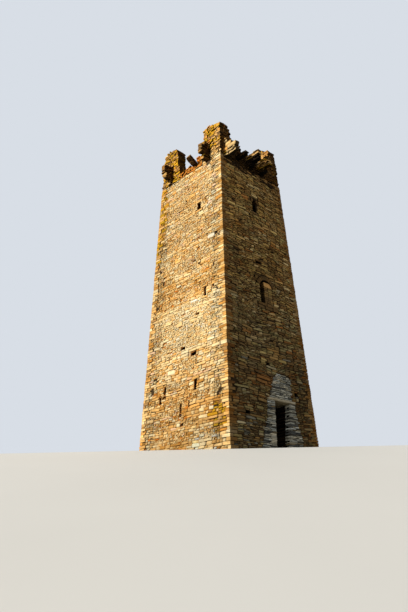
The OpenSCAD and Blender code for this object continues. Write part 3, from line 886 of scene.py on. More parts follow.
def noise_of(vector, scale, detail=3.0, roughness=0.6, stretch=None):
    if stretch:
        vector = mapped(vector, "Scale", stretch)
    return value(vector.tree, "Fac", "ShaderNodeTexNoise", {
        "Vector": vector, "Scale": scale, "Detail": detail, "Roughness": roughness,
    }, noise_dimensions="3D")


def value_group(name, inputs, outputs):
    """A shader node group with the sockets that are asked for, the values of its inputs and its end."""
    tree = bpy.data.node_groups.new(name, "ShaderNodeTree")
    for label, (kind, default) in inputs.items():
        new_socket(tree, label, kind, default)
    for label, kind in outputs.items():
        new_socket(tree, label, kind, outlet=True)
    given = {s.name: Value(s) for s in node(tree, "NodeGroupInput").outputs}
    return tree, given, node(tree, "NodeGroupOutput")


def painted_shade(given, colour):
    """Paints shade into a stone's colour: on its shaded sides, in its reveals and on its undersides.

    A corner stone, with an alpha from one to two, keeps its colour on the side that looks along X
    and has painted shade on the one that looks along Y. Another stone has painted shade where it
    looks along its own wall: along Y for the side walls, whose stones have an alpha over two, and
    along X for the others; where the group's shade of reveals is below zero, those sides are painted
    lighter instead, as painted light. With a side shade of one, as on the crown, every stone has a
    darker painted shade on its sides along Y. A stone of the crown with an alpha over three has no
    painted shade on its sides. Every stone has painted shade on its undersides.
    A stone of the crown with an alpha over three is bleached on all its sides.
    """
    x, y, z = axes_of(coordinates(colour.tree, "Normal"))
    along_x, along_y = (maths("ABSOLUTE", axis).ranged(0.55, 0.8, 0.0, 1.0) for axis in (x, y))
    alpha = given["Alpha"]
    sideways = maths("GREATER_THAN", alpha, 2.0)
    corner = maths("GREATER_THAN", alpha, 1.0) - sideways
    # Painted shade on the sides that look along Y: on corner stones, and on every stone whose side shade is
    # one
    shaded = along_y * maths("MAXIMUM", corner, given["Weathering"]) * maths("LESS_THAN", alpha, 3.0)
    # Painted shade in the reveals of the stones; a value below zero paints them lighter, as painted light
    reveal = mixed_value(sideways, along_x, along_y) * given["Reveal"] * (1.0 - corner)
    # Painted shade on the undersides
    under = z.ranged(-0.6, -0.9, 0.0, 0.96)
    # Colour of the painted shade on the sides along Y, darker as the side shade rises
    deeper = blended("MIX", given["Weathering"], (0.4, 0.35, 0.3, 1), (0.13, 0.115, 0.1, 1))
    dim = blended("MULTIPLY", shaded, colour, deeper)
    return blended("MULTIPLY", 1.0, dim, (1.0 - reveal) * (1.0 - under))


def stone_face_group():
    """Mottling, bedding lines, grain, lichen and darker rims of a stone face, from its tint and rim, with
    painted shade on its shaded sides, reveals and undersides.
    """
    tree, given, result = value_group("stone_face", {
        "Tint": ("Color", (0.5, 0.4, 0.3, 1)), "Alpha": ("Float", 0.5), "Rim": ("Float", 0.0),
        "Mottle": ("Float", 0.5), "Bedding": ("Float", 0.5), "Rim dirt": ("Float", 0.4),
        "Lichen": ("Float", 0.3), "Lichen colour": ("Color", (0.5, 0.3, 0.02, 1)),
        "Stain": ("Float", 0.3), "Weathering": ("Float", 0.0), "Reveal": ("Float", 0.8),
    }, {"Colour": "Color", "Height": "Float", "Roughness": "Float"})
    coords = coordinates(tree)
    own = set_apart(coords, given["Alpha"] * 37.0)
    mottle = noise_of(own, 7.0, 5.0, 0.65)
    bedding = noise_of(own, 1.0, 3.0, 0.55, (2.5, 2.5, 34.0))
    grain = noise_of(own, 70.0, 3.0, 0.7)
    stain = noise_of(coords, 0.55)
    spots = noise_of(coords, 9.0, 4.0, 0.7)
    patches = noise_of(coords, 0.8, 2.0, 0.5)
    light = (mottle - 0.5) * given["Mottle"] + (bedding - 0.5) * given["Bedding"]
    light += (grain - 0.5) * 0.35 + (stain - 0.5) * given["Stain"]
    # Darker towards the rim of each stone
    rim_tone = 1.0 - given["Rim"] * given["Rim dirt"]
    toned = blended("MULTIPLY", 1.0, given["Tint"], maths("MAXIMUM", light * 2.0 + 1.0, 0.25) * rim_tone)
    growth = spots.ranged(0.5, 0.66, 0.0, 1.0) * patches.ranged(0.45, 0.7, 0.0, 1.0)
    grown = blended("MIX", growth * given["Lichen"], toned, given["Lichen colour"])
    wire(result, {"Colour": painted_shade(given, grown), "Height": mottle * 0.5 + bedding * 0.35 + grain * 0.12,
                  "Roughness": mottle.ranged(0.3, 0.7, 0.82, 0.96)})
    return tree


def bed_group():
    """Earth and small stones between the face stones, with painted shade where they lie deep in a wall, as
    in the holes of fallen stones and on the room side.
    """
    tree, given, result = value_group(
        "earth_bed", {"Earth": ("Color", (0.3, 0.2, 0.1, 1)), "Chips": ("Float", 0.5)},
        {"Colour": "Color", "Height": "Float"})
    coords = coordinates(tree)
    cells = node(tree, "ShaderNodeTexVoronoi", {"Vector": mapped(coords, "Scale", (6.0, 6.0, 13.0))},
                 feature="F1").outputs
    grain = noise_of(coords, 26.0, 5.0, 0.7)
    rough = Value(cells["Color"]).ranged(0.0, 1.0, 0.62, 1.35) * grain.ranged(0.25, 0.75, 0.7, 1.3)
    tone = rough * noise_of(coords, 2.2).ranged(0.3, 0.7, 0.8, 1.2)
    x, y, z = axes_of(coords)
    out = maths("MAXIMUM", maths("ABSOLUTE", x), maths("ABSOLUTE", y))
    # Painted shade: the bed darkens where it lies deep behind the outer face, but not above the wall head
    deep = (z * -BATTER + BASE_HALF - out).ranged(0.055, 0.10, 1.0, 0.08)
    recess_shade = mixed_value(maths("LESS_THAN", z, WALL_HEAD - 0.01), 1.0, deep)
    earth = blended("MULTIPLY", 1.0, given["Earth"], tone)
    wire(result, {"Colour": blended("MULTIPLY", 1.0, earth, recess_shade),
                  "Height": grain - Value(cells["Distance"]) * given["Chips"]})
    return tree


def wood_group():
    """Grain, cracks and grey weather-worn patches of old wood that runs along the X of its place."""
    tree, given, result = value_group("old_wood", {
        "Place": ("Vector", None), "Wood": ("Color", (0.2, 0.14, 0.1, 1)), "Alpha": ("Float", 0.5),
    }, {"Colour": "Color", "Height": "Float"})
    own = set_apart(given["Place"], given["Alpha"] * 23.0)
    fibres = noise_of(own, 1.0, 5.0, 0.6, (1.2, 38.0, 38.0))
    cracks = noise_of(own, 1.0, 2.0, 0.5, (0.6, 16.0, 16.0))
    weather = noise_of(given["Place"], 1.7)
    tone = fibres.ranged(0.3, 0.7, 0.6, 1.35) * weather.ranged(0.3, 0.7, 0.8, 1.25)
    dark = cracks.ranged(0.36, 0.42, 0.45, 1.0)
    wire(result, {"Colour": blended("MULTIPLY", 1.0, given["Wood"], tone * dark), "Height": fibres * dark})
    return tree


GROUPS = {"stone_face": stone_face_group, "earth_bed": bed_group, "old_wood": wood_group}


def directly_seen(tree):
    """One for what the camera sees, also in a mirror or through glass, and none for other light."""
    path = node(tree, "ShaderNodeLightPath").outputs
    camera, glossy, through = (Value(path[f"Is {ray} Ray"])
                               for ray in ("Camera", "Glossy", "Transmission"))
    return maths("MAXIMUM", camera, maths("MAXIMUM", glossy, through))


def principled(name):
    """A new material, its tree and its shader, which hardly shines."""
    made = bpy.data.materials.new(name)
    made.use_nodes = True
    shader = made.node_tree.nodes["Principled BSDF"]
    shader.inputs["Specular IOR Level"].default_value = 0.05
    return made, made.node_tree, shader


def shown(name, group_name, values, attributes, roughness, relief):
    """A material of a shared group, whose height makes a bump of that relief.

    The values are for the group's inlets. The attributes are rows of a mesh attribute's name, its
    outlet and the group's inlet that it goes to.
    """
    made, tree, shader = principled(name)
    if group_name not in bpy.data.node_groups:
        GROUPS[group_name]()
    group = node(tree, "ShaderNodeGroup", node_tree=bpy.data.node_groups[group_name])
    wire(group, values)
    wire(group, {inlet: outlet(tree, name, "ShaderNodeAttribute", attribute_name=attribute)
                 for attribute, name, inlet in attributes})
    bump = outlet(tree, "Normal", "ShaderNodeBump", {
        "Distance": relief, "Strength": 0.7, "Height": group.outputs["Height"]})
    wire(shader, {"Base Color": group.outputs["Colour"], "Normal": bump,
                  "Roughness": roughness or group.outputs["Roughness"]})
    return made, tree, group


def stone_material(name, mottle, bedding, rim_dirt, lichen, stain, weathering=0.0, reveal=0.8):
    values = {"Mottle": mottle, "Bedding": bedding, "Rim dirt": rim_dirt, "Lichen": lichen, "Stain": stain,
              "Weathering": weathering, "Reveal": reveal,
              "Lichen colour": (*bpy.context.scene.keep_colours.lichen, 1)}
    attributes = (("tint", "Color", "Tint"), ("tint", "Alpha", "Alpha"), ("rim", "Fac", "Rim"))
    return shown(name, "stone_face", values, attributes, None, 0.02)[0]


def bed_material(name, colour):
    earth = (*getattr(bpy.context.scene.keep_colours, colour), 1)
    return shown(name, "earth_bed", {"Earth": earth}, (), 0.97, 0.03)[0]


def timber_material(name, turn):
    """Weathered wood; the turn lays its grain along the timber."""
    attributes = (("tint", "Color", "Wood"), ("tint", "Alpha", "Alpha"))
    made, tree, group = shown(name, "old_wood", {}, attributes, 0.85, 0.012)
    wire(group, {"Place": mapped(coordinates(tree), "Rotation", (0, 0, turn))})
    return made


# Stone finishes may end with their side shade and the shade of their reveals, 0 and 0.8 where left out,
# both painted shade; the slates' value below zero paints their reveals lighter, as painted light
FINISHES = {
    "ochre_stone": (stone_material, 0.45, 0.35, 0.12, 0.30, 0.30),
    "brown_stone": (stone_material, 0.55, 0.60, 0.35, 0.10, 0.35),
    "slate_stone": (stone_material, 0.45, 0.80, 0.45, 0.05, 0.30, 0.0, -0.7),
    "crown_stone": (stone_material, 0.60, 0.45, 0.40, 0.6, 0.40, 1.0, 0.0),
    "lintel_stone": (stone_material, 0.50, 0.50, 0.30, 0.25, 0.30),
    "ochre_bed": (bed_material, "bed_ochre"),
    "brown_bed": (bed_material, "bed_brown"),
    "weathered_beams": (timber_material, 0),
    "weathered_boards": (timber_material, math.pi / 2),
}


def finish(name):
    """The material of that name, made on its first use."""
    make, *values = FINISHES[name]
    return bpy.data.materials.get(name) or make(name, *values)


# Laying out the stones


def parts_of(a, b, count):
    """Count equal parts (low, high) of the way from a to b."""
    return [(a + (b - a) * i / count, a + (b - a) * (i + 1) / count) for i in range(count)]


def lines_between(rng, low, high, count, uneven=0.32):
    """Low, high and the lines of count uneven courses between them."""
    weights = [rng.uniform(1 - uneven, 1 + uneven) for _ in range(count)]
    total = sum(weights)
    lines = [low]
    for weight in weights:
        lines.append(lines[-1] + weight / total * (high - low))
    return lines


def joined(cells):
    """Joins cells (a, b, key) that touch and have the same key, and leaves out those with none."""
    runs = []
    for a, b, key in cells:
        if runs and runs[-1][2] == key and abs(runs[-1][1] - a) < 1e-6:
            runs[-1][1] = b
        elif key is not None:
            runs.append([a, b, key])
    return runs


def lift_heights(rng, settings, top):
    """Heights of the lines between the lifts of a storey wall, from the ground to the wall head."""
    lines = [0.0]
    while lines[-1] < top - settings.lift_most:
        lines.append(lines[-1] + rng.uniform(settings.lift_least, settings.lift_most))
    lines[-1:] = [lines[-1], top] if top - lines[-1] > LOWEST_LIFT else [top]
    return lines


# Usual height of a course: on the shaded walls, and on the side walls below each height
SHADED_COURSE = 0.066
SIDE_COURSES = ((1.6, 0.09), (2.8, 0.082), (4.0, 0.074), (math.inf, 0.068))
# Lengths of the stones, as multiples of the height of their course, and the limits of all stones
SIDE_LENGTHS, SHADED_LENGTHS = (1.2, 3.6), (2.2, 6.4)
SHORTEST_STONE, LONGEST_STONE = 0.09, 0.55
# Corner stones: heights of their courses, and how far they reach along either of their walls
CORNER_COURSE = (0.08, 0.13)
LONG_REACH, SHORT_REACH = (0.26, 0.42), (0.13, 0.2)
# A lift is laid in parts with courses of their own: beside the corners and between
BESIDE_CORNER, BETWEEN = (0.5, 0.9), (0.4, 1.25)
SHORTEST_PART = 0.35
LOWEST_LIFT = 0.12
# Heights where the joints are still packed: in the pale band and above the last height
PALE_BAND = (4.05, 6.1)
PACKED_TOP = 11
# How far behind its face the node of a stone is looked up, and how far apart along a course
INSIDE = 0.12
LOOK_STEP = 0.02
# Shorter lengths of a course are left to the bed
SHORTEST_RUN = 0.05
# Sizes of the doorways and of the arches over the openings
DOOR_REVEAL = 0.25
BLOCKING_RECESS = 0.04
UPPER_BEARING = 0.24
UPPER_RISE = 0.23
ARCH_REACH = 0.15
# How far behind the front the innermost stones of the lower and of the upper doorway end
DOOR_BACK, UPPER_BACK = 0.79, 0.69
# How far a stone reaches past its wall into a doorway
SLIP = 0.008
# Slits and windows that are taller than this have an arched head
ARCHED_FROM = 0.5


def rows_between(face, rng, low, high, z):
    """Pairs of lines of the courses between low and high, of a usual height for a face at z."""
    usual = SHADED_COURSE
    if face in OCHRE_FACES:
        usual = next(height for top, height in SIDE_COURSES if z < top)
    height = usual * rng.uniform(0.62, 1.4)
    return pairwise(lines_between(rng, low, high, max(1, round((high - low) / height))))


def stone_turn(face, rng, slope=0.0, inward=False, loose=1.3):
    """Euler turn of a stone on a face: along its course, with the wall's batter and a little skew."""
    skew = [math.radians(rng.gauss(0, loose)) for _ in range(3)]
    side = -1 if inward else 1
    return (-side * math.atan(BATTER) + skew[0], -side * math.atan(slope) + skew[1],
            math.radians(TURNS[face] + (180 if inward else 0)) + skew[2])


class WallLayer:
    """Lays the stones of the storey walls and sorts them by the node that they belong to."""

    def __init__(self, settings):
        self.settings = settings
        self.rng = random.Random(settings.seed)
        self.stones = {}
        self.slate_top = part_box("door_slate_crown")[1].z
        self.fitted = {face: self.fitted_stones(face) for face in TURNS}
        self.obstacles = {face: self.obstacles_of(face) for face in TURNS}

    def fitted_stones(self, face):
        """Rectangles and colours of the single stones that the courses are built round."""
        stones = [(x - w / 2, x + w / 2, z - h / 2, z + h / 2, colour)
                  for x, z, w, h, colour in MARKED.get(face, ())]
        for x0, x1, z0, z1 in openings(face):
            bearing, thick = 0.1 + 0.05 * self.rng.random(), 0.08 + 0.03 * self.rng.random()
            colour = "ochre" if face in OCHRE_FACES else "umber"
            stones.append((x0 - bearing, x1 + bearing, z0 - thick, z0, colour))
            if z1 - z0 < ARCHED_FROM:
                stones.append((x0 - bearing, x1 + bearing, z1, z1 + thick, colour))
        return stones

    def obstacles_of(self, face):
        """Rectangles that the courses leave free."""
        found = [rect[:4] for rect in self.fitted[face]] + openings(face)
        found += [rect for hole in HOLES[face] for rect in hole_rects(hole)]
        if face == "front":
            for name in ("door_lintel", "upper_door_sill", "upper_door_head"):
                low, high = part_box(name)
                found.append((low.x, high.x, low.z, high.z))
            low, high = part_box("upper_door_head")
            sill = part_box("upper_door_sill")[1].z
            found.append((low.x + UPPER_BEARING, high.x - UPPER_BEARING, sill, low.z))
        if face in ("front", "back"):
            found += [(x0 - ARCH_REACH, x1 + ARCH_REACH, z1 - (x1 - x0) / 2, z1 + ARCH_REACH)
                      for x0, x1, z0, z1 in openings(face) if z1 - z0 > ARCHED_FROM]
        return found

    def add(self, node_name, stone):
        self.stones.setdefault(node_name, []).append(stone)

    def owner(self, face, x, z, depth=INSIDE):
        """The node of a place of a face, with the ragged edge that the slates have."""
        x += ragged(face, x, z)
        return solids.at(face_point(face, x, -depth, within_walls(z)))

    def joint(self):
        """The gap of one joint: most are still packed, the others are open."""
        rng, s = self.rng, self.settings
        if rng.random() < s.open_joints:
            return rng.uniform(s.joint_usual, s.joint_most)
        return rng.uniform(s.joint_least, s.joint_usual)

    def cell(self, face, rect, colour=None):
        """Lays one stone that fills a rectangle of a face, less its joints."""
        rng, s = self.rng, self.settings
        x0, x1, z0, z1 = rect
        wide, high = x1 - x0, z1 - z0
        x, z = (x0 + x1) / 2, (z0 + z1) / 2
        if colour is None and wide * high < 0.02 and rng.random() < s.missing:
            return
        owner = self.owner(face, x, z)
        if owner is None:
            return
        mix = SLATES if owner in SLATE else mix_at(face, x, z)
        spread = 0.06 if colour or face in OCHRE_FACES else 0.18
        tint = self.drifted(face, x, z, colour_of(colour or pick(mix, rng), rng, spread))
        proud = rng.uniform(-0.006, s.proud_most)
        depth = s.stone_depth * rng.uniform(0.85, 1.15)
        at = face_point(face, x, proud - depth / 2, z)
        tight = 0.5 if z > PACKED_TOP or PALE_BAND[0] < z < PALE_BAND[1] else 1.0
        ends = 0.75 * tight if face in OCHRE_FACES else 0.6
        beds = 0.7 * tight
        size = (max(0.03, wide - ends * self.joint()), depth, max(0.02, high - beds * self.joint()))
        at.z = max(at.z, size[2] / 2)
        turn = stone_turn(face, rng, self.slope(face, x, z))
        self.add(owner, Stone(at, size, turn, block_of(rng, wide * high), tint))

    def drifted(self, face, x, z, tint):
        """A tint as it changes over a wall: in patches and with the height."""
        at = face_point(face, x, 0, z)
        light = math.exp(0.26 * noise.noise(at * 1.7) + 0.16 * noise.noise(at * 5))
        warm = 0.09 * noise.noise(at * 1.2 + Vector((9, 9, 9)))
        if face in OCHRE_FACES:
            light *= np.interp(z, *SIDE_LIGHT)
        else:
            light *= np.interp(z, *SHADED_LIGHT)
            warm += np.interp(z, *SHADED_WARMTH)
            if z < 3.6:
                light *= 1 - 0.25 * min(1, max(0, (x - 0.9) / 0.6))
        red, green, blue, chance = tint
        moved = [red * light * (1 + warm), green * light, blue * light * (1 - 2 * warm)]
        within = min(1, 0.93 / max(moved))
        # Side-wall stones get an alpha over two, so that the stone shader paints shade on their sides along
        # Y, in their reveals
        return (*[c * within for c in moved], chance + 2 * (face in OCHRE_FACES))

    def lift_at(self, face, x, z):
        return wave(face_point(face, x, 0, z), self.settings.wave_height)

    def slope(self, face, x, z):
        step = 0.05
        return (self.lift_at(face, x + step, z) - self.lift_at(face, x - step, z)) / (2 * step)

    def strip(self, face, x0, x1, z0, z1):
        """Fills one course of a face between x0 and x1 with stones."""
        if x1 - x0 < SHORTEST_RUN:
            return
        rng = self.rng
        lengths = SIDE_LENGTHS if face in OCHRE_FACES else SHADED_LENGTHS
        for px0, px1, pz0, pz1 in free_of((x0, x1, z0, z1), self.obstacles[face]):
            for rx0, rx1, in_slate in self.runs(face, px0, px1, (pz0 + pz1) / 2):
                if not in_slate:
                    usual = (z1 - z0) * rng.uniform(*lengths)
                    usual = min(LONGEST_STONE, max(SHORTEST_STONE, usual))
                    edges = lines_between(rng, rx0, rx1, max(1, round((rx1 - rx0) / usual)), 0.45)
                    for a, b in pairwise(edges):
                        self.cell(face, (a, b, pz0, pz1))

    def runs(self, face, x0, x1, z):
        """Parts of a strip that lie in one kind of masonry, as (x0, x1, whether it is slate)."""
        if face != "front" or z > self.slate_top:
            return [(x0, x1, False)]
        cells = []
        for a, b in parts_of(x0, x1, max(2, int((x1 - x0) / LOOK_STEP))):
            owner = self.owner(face, (a + b) / 2, z)
            cells.append((a, b, None if owner is None else owner in SLATE))
        return [run for run in joined(cells) if run[1] - run[0] > SHORTEST_RUN]

    def lay_faces(self):
        """Lays lift after lift: corner stones first, then the courses of each face between them."""
        before = {"front": "left", "right": "front", "back": "right", "left": "back"}
        for low, high in pairwise(lift_heights(self.rng, self.settings, WALL_HEAD)):
            corners = {face: self.corner(face, low, high) for face in TURNS}
            for face in TURNS:
                self.face_lift(face, low, high, corners[before[face]], corners[face])

    def corner(self, face, low, high):
        """Corner stones at the right end of a face: rows of a course's lines and how far its stone
        reaches on this face and on the next."""
        rng = self.rng
        count = max(1, round((high - low) / rng.uniform(*CORNER_COURSE)))
        rows = []
        for z0, z1 in pairwise(lines_between(rng, low, high, count, 0.2)):
            long, short = rng.uniform(*LONG_REACH), rng.uniform(*SHORT_REACH)
            long_first = 0.9 if len(rows) % 2 else 0.1
            reaches = (long, short) if rng.random() < long_first else (short, long)
            rows.append((z0, z1, reaches))
            self.quoin(face, z0, z1, *reaches)
        return rows

    def quoin(self, face, z0, z1, along, beyond):
        """Lays a corner stone that reaches along its face and beyond, on the next one."""
        rng, s = self.rng, self.settings
        z = (z0 + z1) / 2
        half = half_width(z)
        proud_a, proud_b = rng.uniform(0.0, 0.012), rng.uniform(0.0, 0.012)
        lift = wave(turned(face, half, -half, z), s.wave_height)
        size = (along + proud_b, beyond + proud_a, z1 - z0 - rng.uniform(s.joint_least, s.joint_usual))
        angles = [math.radians(rng.gauss(0, 0.8)) for _ in range(3)]
        angles[2] += math.radians(TURNS[face])
        at = turned(face, half + (proud_b - along) / 2, -half + (beyond - proud_a) / 2, z + lift)
        at.z = max(at.z, size[2] / 2)
        mix = LICHENED if face == "back" and z > 8.5 else CORNER
        *colour, chance = tint_of(mix, rng, 0.1)
        inside = half - INSIDE
        owner = solids.at(turned(face, inside, -inside, within_walls(z)))
        # An alpha from one to two marks a corner stone: the stone shader paints shade on its side along Y
        # and leaves its side along X unshaded
        self.add(owner, Stone(at, size, angles, any_quoin(rng), (*colour, chance + 1)))

    def face_lift(self, face, low, high, left_corner, right_corner):
        """Fills a lift of a face: first beside the stones of its two corners, then between them."""
        rng = self.rng
        half = half_width((low + high) / 2)
        first, last = rng.uniform(*BESIDE_CORNER), rng.uniform(*BESIDE_CORNER)
        for end, inner, rows in ((-1, half - first, left_corner), (1, half - last, right_corner)):
            for z0, z1, reaches in rows:
                pair = sorted((end * (half - reaches[end < 0]), end * inner))
                for row in rows_between(face, rng, z0, z1, low):
                    self.waved(face, *pair, *row)
        x, stop = -half + first, half - last
        while x < stop - 1e-6:
            wide = rng.uniform(*BETWEEN)
            if stop - x - wide < SHORTEST_PART:
                wide = stop - x
            for row in rows_between(face, rng, low, high, low):
                self.waved(face, x, x + wide, *row)
            x += wide

    def waved(self, face, x0, x1, z0, z1):
        """Lays a strip in short lengths that follow the rise and dip of the courses."""
        for a, b in parts_of(x0, x1, max(1, round((x1 - x0) / 0.9))):
            lift = self.lift_at(face, (a + b) / 2, (z0 + z1) / 2)
            self.strip(face, a, b, z0 + lift, z1 + lift)

    def lay_fitted(self):
        for face, stones in self.fitted.items():
            for *rect, colour in stones:
                self.cell(face, rect, colour)

    def lay_arches(self):
        """Stones on edge round the heads of the windows."""
        for face in ("front", "back"):
            for x0, x1, z0, z1 in openings(face):
                radius = (x1 - x0) / 2
                ring = (radius, radius + ARCH_REACH)
                if z1 - z0 > ARCHED_FROM:
                    for stone in arch_stones(face, (x0 + x1) / 2, z1 - radius, ring, math.pi / 2, 9,
                                             ((-0.012, 0.2), (0.21, 0.4)), self.rng):
                        self.add(solids.at(stone.at), stone)

    def lay_jambs(self):
        """Stones that line the two sides of the upper doorway behind its face stones."""
        low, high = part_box("upper_door_head")
        rows = courses(self.rng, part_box("upper_door_sill")[1].z, low.z, 0.07, 0.15)
        for side, x in ((-1, low.x + UPPER_BEARING), (1, high.x - UPPER_BEARING)):
            for up in pairwise(rows):
                along = sorted((x - side * SLIP, x + side * 0.24))
                for behind in ((0.16, 0.42), (0.43, UPPER_BACK)):
                    tint = tint_of(BROWN, self.rng, 0.12)
                    stone = stone_in("front", along, up, behind, tint, self.rng)
                    self.add(self.owner("front", sum(along) / 2, sum(up) / 2, 0.3), stone)


def inner_stones(face, z0, z1, thick, rng, names):
    """Larger, plainer stones on the room side of the named parts of a storey wall, by their parts."""
    depth = 0.16
    heights, lengths, shortest = (0.13, 0.24), (0.22, 0.55), 0.12
    stones = []
    z = z0
    while z < z1 - 0.05:
        high = min(rng.uniform(*heights), z1 - z)
        middle = z + high / 2
        half = half_width(middle) - thick
        x = -half
        while x < half - 0.02:
            wide = min(rng.uniform(*lengths), half - x)
            if half - x - wide < shortest:
                wide = half - x
            ends = [solids.at(turned(face, e, -(half + 0.06), middle)) for e in (x + 0.03, x + wide - 0.03)]
            owner = solids.at(turned(face, x + wide / 2, -(half + 0.1), middle))
            if owner in names and all(ends):
                at = turned(face, x + wide / 2, -(half - 0.012 + depth / 2), middle)
                kind = BLOCK_KINDS + rng.randrange(PLAIN_KINDS)
                tint = tint_of(INNER, rng, 0.15)
                turn = stone_turn(face, rng, 0, True, 0.6)
                stones.append((owner, Stone(at, (wide - 0.012, depth, high - 0.01), turn, kind, tint)))
            x += wide
        z += high
    return stones


class Step:
    """What the steps share: each lays its stones with random draws of its own."""

    number = 0

    def execute(self, context):
        get_shared()
        self.lay(random.Random(context.scene.keep_masonry.seed + self.number))
        return {"FINISHED"}


class KEEP_OT_storey_walls(Step, bpy.types.Operator):
    """Lays the rubble of the three storeys on its earth bed"""

    bl_idname = "keep.storey_walls"
    bl_label = "Storey walls"
    number = 1

    def lay(self, rng):
        layer = WallLayer(bpy.context.scene.keep_masonry)
        layer.lay_faces()
        layer.lay_fitted()
        layer.lay_arches()
        layer.lay_jambs()
        bounds = (0.0, *LEDGES, WALL_HEAD)
        for face in TURNS:
            for z0, z1, thick in zip(bounds, bounds[1:], WALL_THICKNESS):
                for owner, stone in inner_stones(face, z0, z1, thick, rng, WALLS[face]):
                    layer.add(owner, stone)
        for face, names in WALLS.items():
            tone = "ochre" if face in OCHRE_FACES else "brown"
            for name in names:
                low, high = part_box(name)
                holes = [h for h in HOLES[face] if low.z + INSIDE < h[1] < high.z - INSIDE
                         and solids.at(face_point(face, h[0], -INSIDE, h[1])) == name]
                dress(name, "masonry", (tone + "_stone", tone + "_bed"), layer.stones.get(name, []),
                      with_holes(wall_bed(name), face, holes))


def grid_box(nx, ny, nz):
    """Corners, as whole numbers, and outward faces of the surface of a box of cells."""
    index, faces = {}, []

    def face(*corners):
        """Adds a face; a corner that has no number yet gets the next one."""
        faces.append([index.setdefault(corner, len(index)) for corner in corners])

    for i in range(nx):
        for j in range(ny):
            face((i, j, 0), (i, j + 1, 0), (i + 1, j + 1, 0), (i + 1, j, 0))
            face((i, j, nz), (i + 1, j, nz), (i + 1, j + 1, nz), (i, j + 1, nz))
        for k in range(nz):
            face((i, 0, k), (i + 1, 0, k), (i + 1, 0, k + 1), (i, 0, k + 1))
            face((i, ny, k), (i, ny, k + 1), (i + 1, ny, k + 1), (i + 1, ny, k))
    for j in range(ny):
        for k in range(nz):
            face((0, j, k), (0, j, k + 1), (0, j + 1, k + 1), (0, j + 1, k))
            face((nx, j, k), (nx, j + 1, k), (nx, j + 1, k + 1), (nx, j, k + 1))
    return list(index), faces


def rough_block(rng, size, place, cell, wear, tint):
    """A worn block of its own shape: its corners in the world, faces, rim and tint.

    The cell is the size of its faces, and the wear is how far its edges and faces are worn.
    """
    counts = [max(2, min(14, round(side / cell))) for side in size]
    grid, faces = grid_box(*counts)
    apart = Vector([rng.uniform(0, 50) for _ in range(3)])
    corners, rims = [], []
    for cell_at in grid:
        unit = [2 * c / n - 1 for c, n in zip(cell_at, counts)]
        ends = [abs(abs(u) - 1) < 1e-6 for u in unit]
        at = Vector([u * side / 2 for u, side in zip(unit, size)])
        chip = wear * (0.5 + 0.9 * noise.noise(at * 5 + apart))
        if sum(ends) > 1:
            for i in range(3):
                if ends[i]:
                    at[i] -= math.copysign(min(max(chip, 0.1 * wear), size[i] * 0.2), unit[i])
        swell = noise.noise_vector(at * 4 + apart) + 0.5 * noise.noise_vector(at * 11 + apart)
        at += Vector([swell[i] * min(wear, size[i] * 0.16) for i in range(3)])
        corners.append(place @ at)
        rims.append(float(sum(ends) > 1))
    return corners, faces, rims, tint


def spans(face, z, depth, names, reach=None):
    """Runs along a face, at a depth behind it and height z, that lie in the named nodes."""
    x0, x1 = reach or (-half_width(z), half_width(z))
    cells = []
    for a, b in pairwise(np.linspace(x0, x1, max(2, round((x1 - x0) / LOOK_STEP)) + 1).tolist()):
        middle = (a + b) / 2
        owner = solids.at(face_point(face, middle + ragged(face, middle, z), -depth, z))
        cells.append((a, b, owner if owner in names else None))
    return joined(cells)


def pieces_of(rng, a, b, least, most):
    """Lines that divide a run into stones between least and most long."""
    usual = rng.uniform(least, most)
    return lines_between(rng, a, b, max(1, round((b - a) / usual)), 0.35)


def any_quoin(rng):
    return BLOCK_KINDS + PLAIN_KINDS + SMALL_KINDS + CHIP_KINDS + rng.randrange(QUOIN_KINDS)


def stone_in(face, along, up, behind, tint, rng, kind=None, gap=0.007, loose=1.0):
    """A stone that fills a box of a wall: its extent along the face, up it and behind it.

    It is a rough corner block, unless another kind is given.
    """
    kind = any_quoin(rng) if kind is None else kind
    at = face_point(face, sum(along) / 2, -sum(behind) / 2, sum(up) / 2)
    size = (along[1] - along[0] - gap, behind[1] - behind[0], up[1] - up[0] - gap)
    return Stone(at, size, stone_turn(face, rng, loose=loose), kind, tint)


def courses(rng, low, high, least, most, stops=()):
    """Lines of courses between least and most high, with a line at each stop."""
    lines = [low]
    for stop in sorted(s for s in (*stops, high) if s > low):
        while stop - lines[-1] > most:
            lines.append(lines[-1] + rng.uniform(least, most))
        if stop - lines[-1] < least and len(lines) > 1 and lines[-1] not in stops:
            lines.pop()
        lines.append(stop)
    return lines


def arch_stones(face, x, centre, ring, widest, count, depths, rng):
    """Stones set on edge in a ring round an arched head."""
    inner, outer = ring
    stones = []
    for a0, a1 in pairwise(lines_between(rng, -widest, widest, count, 0.15)):
        a = (a0 + a1) / 2
        tall = rng.uniform(0.86, 1.0) * (outer - inner)
        middle = inner + tall / 2
        tint = colour_of("umber", rng, 0.2)
        for near, far in depths:
            at = face_point(face, x + middle * math.sin(a), -(near + far) / 2,
                            centre + middle * math.cos(a))
            turn = (math.radians(rng.gauss(0, 0.6)) - math.atan(BATTER), a, math.radians(TURNS[face]))
            size = ((a1 - a0) * middle - 0.008, far - near, tall)
            stones.append(Stone(at, size, turn, any_quoin(rng), tint))
    return stones


def haunch_stones(face, x, centre, clear_of, half, low, high, rng):
    """Small stones between an arch and the sides of the rectangle that it stands in."""
    stones = []
    for up in pairwise(courses(rng, low, high, 0.05, 0.1)):
        clear = math.sqrt(max(0.0, clear_of ** 2 - (sum(up) / 2 - centre) ** 2))
        if half - clear > 0.04:
            for side in (-1, 1):
                along = sorted((x + side * clear, x + side * half))
                tint = tint_of(BROWN, rng, 0.12)
                kind = block_of(rng, (half - clear) * (up[1] - up[0]))
                stones.append(stone_in(face, along, up, (-SLIP, 0.2), tint, rng, kind))
    return stones


